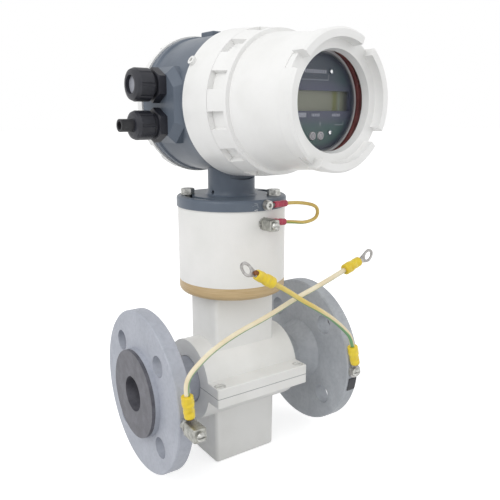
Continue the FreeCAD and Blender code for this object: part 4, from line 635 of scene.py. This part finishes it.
def swept(centres, side, rise, width, height, squareness=2.0, around=24):
    """Rings of points: centre + side * width * c + rise * height * s, where c and s are the cosine and sine
    of the angle round the ring, each raised to 2 / squareness with its sign kept."""
    angle = np.arange(around) * TURN / around
    squareness = np.broadcast_to(squareness, len(centres))[:, None]
    cosine = np.sign(np.cos(angle)) * np.abs(np.cos(angle)) ** (2 / squareness)
    sine = np.sign(np.sin(angle)) * np.abs(np.sin(angle)) ** (2 / squareness)
    width = np.broadcast_to(width, len(centres))[:, None]
    height = np.broadcast_to(height, len(centres))[:, None]
    return (centres[:, None] + side[:, None] * (width * cosine)[..., None]
            + rise[:, None] * (height * sine)[..., None])


def route_line(name, route):
    """The points of the smooth line that a cord follows, from the corner points of its route."""
    curve = bpy.data.curves.new(name, "CURVE")
    curve.dimensions = "3D"
    curve.resolution_u = 12
    spline = curve.splines.new("NURBS")
    spline.points.add(len(route) - 1)
    spline.points.foreach_set("co", np.column_stack([route, np.ones(len(route))]).ravel())
    spline.order_u = 3
    spline.use_endpoint_u = True
    holder = bpy.data.objects.new(name, curve)
    bpy.context.scene.collection.objects.link(holder)
    bpy.context.view_layer.update()
    mesh = bpy.data.meshes.new_from_object(holder.evaluated_get(bpy.context.evaluated_depsgraph_get()))
    points = np.empty(len(mesh.vertices) * 3)
    mesh.vertices.foreach_get("co", points)
    bpy.data.objects.remove(holder)
    bpy.data.curves.remove(curve)
    bpy.data.meshes.remove(mesh)
    points = points.reshape(-1, 3)
    return points[np.concatenate([[True], np.linalg.norm(np.diff(points, axis=0), axis=1) > 1e-7])]


def line_length(points):
    """The distance from the first point to each point, along the line."""
    return np.concatenate([[0.0], np.cumsum(np.linalg.norm(np.diff(points, axis=0), axis=1))])


def evenly(points, spacing):
    """The same line, with points at an even spacing."""
    along = line_length(points)
    places = np.linspace(0.0, along[-1], max(3, int(round(along[-1] / spacing)) + 1))
    return np.column_stack([np.interp(places, along, points[:, axis]) for axis in range(3)])


def straight_rings(centres, side, rise, width, height, squareness=2.0, around=24):
    """Rings as in swept, with one side and one rise for them all."""
    rows = (len(centres), 1)
    return swept(centres, np.tile(side, rows), np.tile(rise, rows), width, height, squareness, around)


def directions(along, facing):
    """Three unit vectors for a straight piece: along it, to its front made square to that, and sideways."""
    along = unit(along)
    front = unit(np.asarray(facing, float) - along * np.dot(facing, along))
    return along, front, np.cross(front, along)


def line_frames(points):
    """Side and rise directions across a line: the front direction made square to the line, and its cross."""
    along = unit(np.gradient(points, axis=0))
    rise = unit(np.asarray(FRONT) - along * (along @ np.asarray(FRONT))[:, None])
    return np.cross(rise, along), rise


def insulated_wire(name, points, radius, finish, stripe_start, stripe_turns, around=24):
    """A round wire along a line. The attribute "stripe" is the cosine of the angle between a point's side
    of the wire and the stripe's side, which winds round by stripe_turns over the length."""
    side, rise = line_frames(points)
    rings = swept(points, side, rise, radius, radius, around=around)
    piece = make_piece(name, rings.reshape(-1, 3), ring_faces(len(points), around), finish)
    angle = np.arange(around) * TURN / around
    along = line_length(points)
    stripe_angle = stripe_start + TURN * stripe_turns * along / along[-1]
    attribute = piece.data.attributes.new("stripe", "FLOAT", "POINT")
    attribute.data.foreach_set("value", np.cos(angle[None] - stripe_angle[:, None]).ravel())
    return piece


# ---------------------------------------------------------------- earth leads

LEAD_RADIUS = 2.1 * MM
JUMPER_RADIUS = 1.5 * MM
LEAD_SPACING = 1.2 * MM
JUMPER_SPACING = 0.75 * MM
BLEACHED = (15.0 * MM, 60.0 * MM)

# the share of the jumper that stays with the head, the lengths that the rest is cut into, and the angle at
# which its stripe starts and the angle it winds through, in radians
JUMPER_WITH_HEAD = 0.44
JUMPER_LENGTHS = 8
JUMPER_STRIPE_START = -2.15
JUMPER_STRIPE_WIND = 3.3

INLET_ROUTE = MM * np.array([
    (-89.82, -77.7, 26.85), (-90.60, -77.7, 34.21), (-87.6, -77.6, 42.0), (-79.7, -77.3, 48.8),
    (-66.0, -76.6, 57.5), (-43.0, -75.7, 66.2), (-15.0, -74.7, 72.6), (13.0, -73.9, 82.4),
    (42.5, -73.2, 90.0), (69.2, -72.6, 98.6)])
OUTLET_ROUTE = MM * np.array([
    (80.47, -74.3, 26.2), (78.17, -74.3, 35.42), (69.5, -75.8, 44.2), (53.5, -78.2, 57.9),
    (33.5, -80.6, 71.6), (14.0, -82.2, 83.3), (-1.5, -82.8, 94.4), (-15.3, -82.5, 102.6)])
JUMPER_ROUTE = MM * np.array([
    (22.56, -48.85, 157.7), (30.54, -48.29, 157.7), (43.0, -48.9, 156.2), (53.8, -50.0, 153.4),
    (56.6, -50.4, 148.2), (54.0, -50.6, 142.0), (42.0, -50.5, 139.6), (30.4, -49.8, 141.4),
    (20.68, -49.98, 142.4)])


def lead_finish(name, base, shaded, stripe_colour, pale=None):
    """Aged two-colour insulation: a soft-edged stripe, yellowed clouds and a faint gloss. With a pale colour,
    it bleaches towards +X."""
    finish = Finish(name, base, 0.42)
    stripe = finish.node("ShaderNodeAttribute", {"attribute_name": "stripe"}, {}, "Fac")
    cloud = finish.noise(0.012, 3.0, 0.55)
    edge = stripe + (cloud - 0.5) * 0.25
    toned = finish.mixed(cloud.step(0.3, 0.7), base, shaded)
    if pale:
        toned = finish.mixed(finish.axis("X").step(*BLEACHED), toned, pale)
    finish.colour(finish.mixed(edge.step(0.62, 0.8), toned, stripe_colour))
    finish.roughness(cloud * 0.15 + 0.35)
    return finish.relief(finish.noise(0.0012, 2.0, 0.5), 0.00003)


CREAM_LEAD = lead_finish("cream_lead", (234, 226, 200), (226, 212, 180), (124, 160, 116))
YELLOW_LEAD = lead_finish("yellow_lead", (226, 204, 116), (216, 190, 94), (112, 160, 112),
                          pale=(230, 214, 178))
JUMPER_LEAD = lead_finish("jumper_lead", (212, 186, 104), (200, 168, 84), (140, 156, 74))


def earth_lead(name, route, finish, stripe_start, stripe_turns, node):
    """A free lead from its fixed sleeve to the sleeve of its loose lug."""
    points = evenly(route_line(name + "_line", route), LEAD_SPACING)
    lead = insulated_wire(name, points, LEAD_RADIUS, finish, stripe_start, stripe_turns)
    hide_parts(node)
    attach(lead, "sensor")


def jumper():
    """The loop between the head and the can. Its first run stays with the head. The run back is cut into
    short lengths."""
    points = evenly(route_line("jumper_line", JUMPER_ROUTE), JUMPER_SPACING)
    along = line_length(points)
    whole = along[-1]
    still = int(np.searchsorted(along, JUMPER_WITH_HEAD * whole))
    cuts = np.linspace(still, len(points) - 1, JUMPER_LENGTHS + 1).round().astype(int)
    spans = [(0, still)] + list(zip(cuts[:-1], cuts[1:]))
    for index, (first, last) in enumerate(spans):
        stripe_start = JUMPER_STRIPE_START + JUMPER_STRIPE_WIND * along[first] / whole
        stripe_turns = JUMPER_STRIPE_WIND / TURN * (along[last] - along[first]) / whole
        piece = insulated_wire(f"jumper_{index + 1}", points[first:last + 1], JUMPER_RADIUS, JUMPER_LEAD,
                               stripe_start, stripe_turns)
        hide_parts("jumper_wire")
        if index == 0:
            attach(piece, "converter")
            continue
        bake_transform(piece)


def lead_end(route, last):
    """The mouth of the sleeve at one end of a route, and the direction from the wire into the sleeve."""
    return (route[-1], route[-1] - route[-2]) if last else (route[0], route[0] - route[1])


def crimp_sleeve(name, end, size, finish, body, node):
    """A lug's plastic sleeve. Its section is a round of the radius that opens to the flare at the mouth,
    sinks by a smooth dent at each of two crimps and bulges sideways there, and rolls in by a quarter round
    at each end. The dents follow exp(-((reach - middle) / width) ** 2)."""
    mouth, inward = end
    inward, front, side = directions(inward, FRONT)
    reach = np.array([0.0, 0.0, 0.02, 0.06, *np.linspace(0.1, 0.95, 30), 0.985, 1.0, 1.0])
    roll = np.array([0.8, 0.93, 0.985, 1.0, *np.ones(30), 0.97, 0.92, 0.7])
    opening = np.clip((0.52 - reach) / 0.1, 0.0, 1.0)
    radius = size["radius"] + (size["flare"] - size["radius"]) * opening ** 2 * (3 - 2 * opening)
    dent = np.exp(-((reach - 0.3) / 0.075) ** 2) * 0.75 + np.exp(-((reach - 0.73) / 0.09) ** 2)
    centres = mouth + inward * (reach * size["length"])[:, None]
    rings = straight_rings(centres, side, front, radius * roll * (1 + 0.05 * dent),
                           radius * roll * (1 - 0.2 * dent), 2 + 0.6 * dent, SLEEVE_AROUND)
    piece = make_piece(name, rings.reshape(-1, 3), ring_faces(len(reach), SLEEVE_AROUND), finish)
    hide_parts(node)
    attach(piece, body)
    return piece


def loose_lug(name, end, facing, reach, node):
    """A free ring lug. Its plate is worked out in turns round the eye: the outline is a circle that runs out
    along its two tangents to the narrow end of the tongue, and the eye is round, each on both faces of the
    plate. A short barrel, round all along, leads back into the sleeve."""
    mouth, inward = end
    inward, facing, aside = directions(inward, facing)
    angle = np.arange(LUG_AROUND) * TURN / LUG_AROUND
    from_tongue = np.abs((angle + math.pi) % TURN - math.pi)
    tangent = math.acos((LUG_RING - LUG_TONGUE) / (reach - 1.5 * MM))
    outline = np.where(from_tongue < tangent, LUG_RING / np.cos(tangent - from_tongue), LUG_RING)
    outline = np.minimum(outline, (reach - 0.5 * MM) / np.maximum(np.cos(angle), 0.05))[:, None]
    centre = mouth + inward * (LEAD_SLEEVE["length"] + reach)
    away = -inward * np.cos(angle)[:, None] + aside * np.sin(angle)[:, None]
    half = facing * LUG_THICKNESS / 2
    loops = np.stack([centre + away * outline + half, centre + away * outline - half,
                      centre + away * LUG_EYE - half, centre + away * LUG_EYE + half], axis=1)
    row, column = np.meshgrid(np.arange(LUG_AROUND), np.arange(4), indexing="ij")
    after, beside = (row + 1) % LUG_AROUND, (column + 1) % 4
    quads = np.stack([row * 4 + column, after * 4 + column, after * 4 + beside, row * 4 + beside], axis=-1)
    plate = make_piece(name + "_ring", loops.reshape(-1, 3), quads.reshape(-1, 4).tolist(), TINNED,
                       smooth=False)
    along = LEAD_SLEEVE["length"] + np.linspace(-4 * MM, 1.2 * MM, 6)
    rings = straight_rings(mouth + inward * along[:, None], aside, facing, *BARREL_RADII)
    barrel = make_piece(name + "_barrel", rings.reshape(-1, 3), ring_faces(6, 24), TINNED)
    for piece in (plate, barrel):
        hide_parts(node)
        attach(piece, "sensor")
    return [plate, barrel]


LUG_RING = 6.2 * MM
LUG_EYE = 3.9 * MM
LUG_TONGUE = 2.3 * MM
LUG_THICKNESS = 1.0 * MM
LUG_AROUND = 64
BARREL_RADII = (2.6 * MM, 2.0 * MM)
SLEEVE_AROUND = 32
LEAD_SLEEVE = {"length": 18.0 * MM, "radius": 4.2 * MM, "flare": 4.7 * MM}
JUMPER_SLEEVE = {"length": 13.2 * MM, "radius": 2.6 * MM, "flare": 2.75 * MM}
INLET_FACING = (0.14, -0.98, -0.13)
OUTLET_FACING = (0.31, -0.79, 0.52)

INLET_FIXED, INLET_LOOSE = lead_end(INLET_ROUTE, False), lead_end(INLET_ROUTE, True)
OUTLET_FIXED, OUTLET_LOOSE = lead_end(OUTLET_ROUTE, False), lead_end(OUTLET_ROUTE, True)
HEAD_END, CAN_END = lead_end(JUMPER_ROUTE, False), lead_end(JUMPER_ROUTE, True)

crimp_sleeve("inlet_fixed_sleeve", INLET_FIXED, LEAD_SLEEVE, YELLOW_SLEEVE, "sensor", "inlet_sleeve_fixed")
crimp_sleeve("outlet_fixed_sleeve", OUTLET_FIXED, LEAD_SLEEVE, YELLOW_SLEEVE, "sensor", "outlet_sleeve_fixed")
inlet_sleeve = crimp_sleeve("inlet_loose_sleeve", INLET_LOOSE, LEAD_SLEEVE, YELLOW_SLEEVE, "sensor",
                            "inlet_sleeve_free")
outlet_sleeve = crimp_sleeve("outlet_loose_sleeve", OUTLET_LOOSE, LEAD_SLEEVE, YELLOW_SLEEVE, "sensor",
                             "outlet_sleeve_free")
crimp_sleeve("upper_jumper_sleeve", HEAD_END, JUMPER_SLEEVE, RED_SLEEVE, "converter", "jumper_sleeve_upper")
crimp_sleeve("lower_jumper_sleeve", CAN_END, JUMPER_SLEEVE, RED_SLEEVE, "sensor", "jumper_sleeve_lower")
inlet_lug = loose_lug("inlet_loose_lug", INLET_LOOSE, INLET_FACING, 11.2 * MM, "inlet_lug_free")
outlet_lug = loose_lug("outlet_loose_lug", OUTLET_LOOSE, OUTLET_FACING, 10.2 * MM, "outlet_lug_free")
earth_lead("inlet_earth_lead", INLET_ROUTE, CREAM_LEAD, 2.35, 0.1, "inlet_lead")
earth_lead("outlet_earth_lead", OUTLET_ROUTE, YELLOW_LEAD, 0.85, -0.22, "outlet_lead")
jumper()


# ---------------------------------------------------------------- small pieces

def wire_end(name, end, first, last, radius, lift, facing=FRONT):
    """The bare strands that show between a sleeve and its lug: rings on a straight line, from first to last
    past the mouth of the sleeve and lifted to the front, with a radius that rises and falls by a quarter
    round."""
    mouth, inward = end
    inward, front, side = directions(inward, facing)
    reach = np.linspace(0.0, 1.0, STRAND_RINGS)
    size = radius * np.sqrt(np.clip(1 - (2 * reach - 1) ** 4, 0.3, 1.0))
    centres = mouth + inward * (first + (last - first) * reach)[:, None] + front * lift
    rings = straight_rings(centres, side, front, size, size)
    piece = make_piece(name, rings.reshape(-1, 3), ring_faces(STRAND_RINGS, 24), DARK_COPPER)
    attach(piece, "sensor")


def rim_plate():
    """A thin dark plate on the rim of the outlet flange, under its terminal: a flat round-cornered section
    carried along an arc about the bore axis."""
    angle = np.radians(np.linspace(*RIM_PLATE_ARC, RIM_PLATE_RINGS))
    radial = np.column_stack([np.zeros(RIM_PLATE_RINGS), -np.cos(angle), np.sin(angle)])
    centres = radial * RIM_PLATE_RADIUS + np.array([RIM_PLATE_X, 0.0, 0.0])
    side = np.tile([1.0, 0.0, 0.0], (RIM_PLATE_RINGS, 1))
    rings = swept(centres, side, radial, *RIM_PLATE_SECTION, squareness=12.0, around=32)
    faces = ring_faces(RIM_PLATE_RINGS, 32)
    piece = make_piece("outlet_rim_plate", rings.reshape(-1, 3), faces, PRINTED_PLATE)
    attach(piece, "sensor")


STRAND_RINGS = 9
RIM_PLATE_RINGS = 14
RIM_PLATE_ARC = (-16.5, -6.2)
RIM_PLATE_RADIUS = 70.5 * MM
RIM_PLATE_X = 86.6 * MM
RIM_PLATE_SECTION = (4.6 * MM, 0.35 * MM)

wire_end("outlet_loose_strands", OUTLET_LOOSE, 17.4 * MM, 21.6 * MM, 1.9 * MM, 1.5 * MM, OUTLET_FACING)
wire_end("inlet_loose_strands", INLET_LOOSE, 17.6 * MM, 19.2 * MM, 2.4 * MM, 0.3 * MM)
wire_end("inlet_fixed_strands", INLET_FIXED, 17.4 * MM, 19.2 * MM, 3.3 * MM, 0.2 * MM)
wire_end("outlet_fixed_strands", OUTLET_FIXED, 17.4 * MM, 19.2 * MM, 3.3 * MM, 0.2 * MM)
rim_plate()


dress_nodes()
set_camera()
set_stage()

bpy.context.scene.view_settings.view_transform = "Standard"
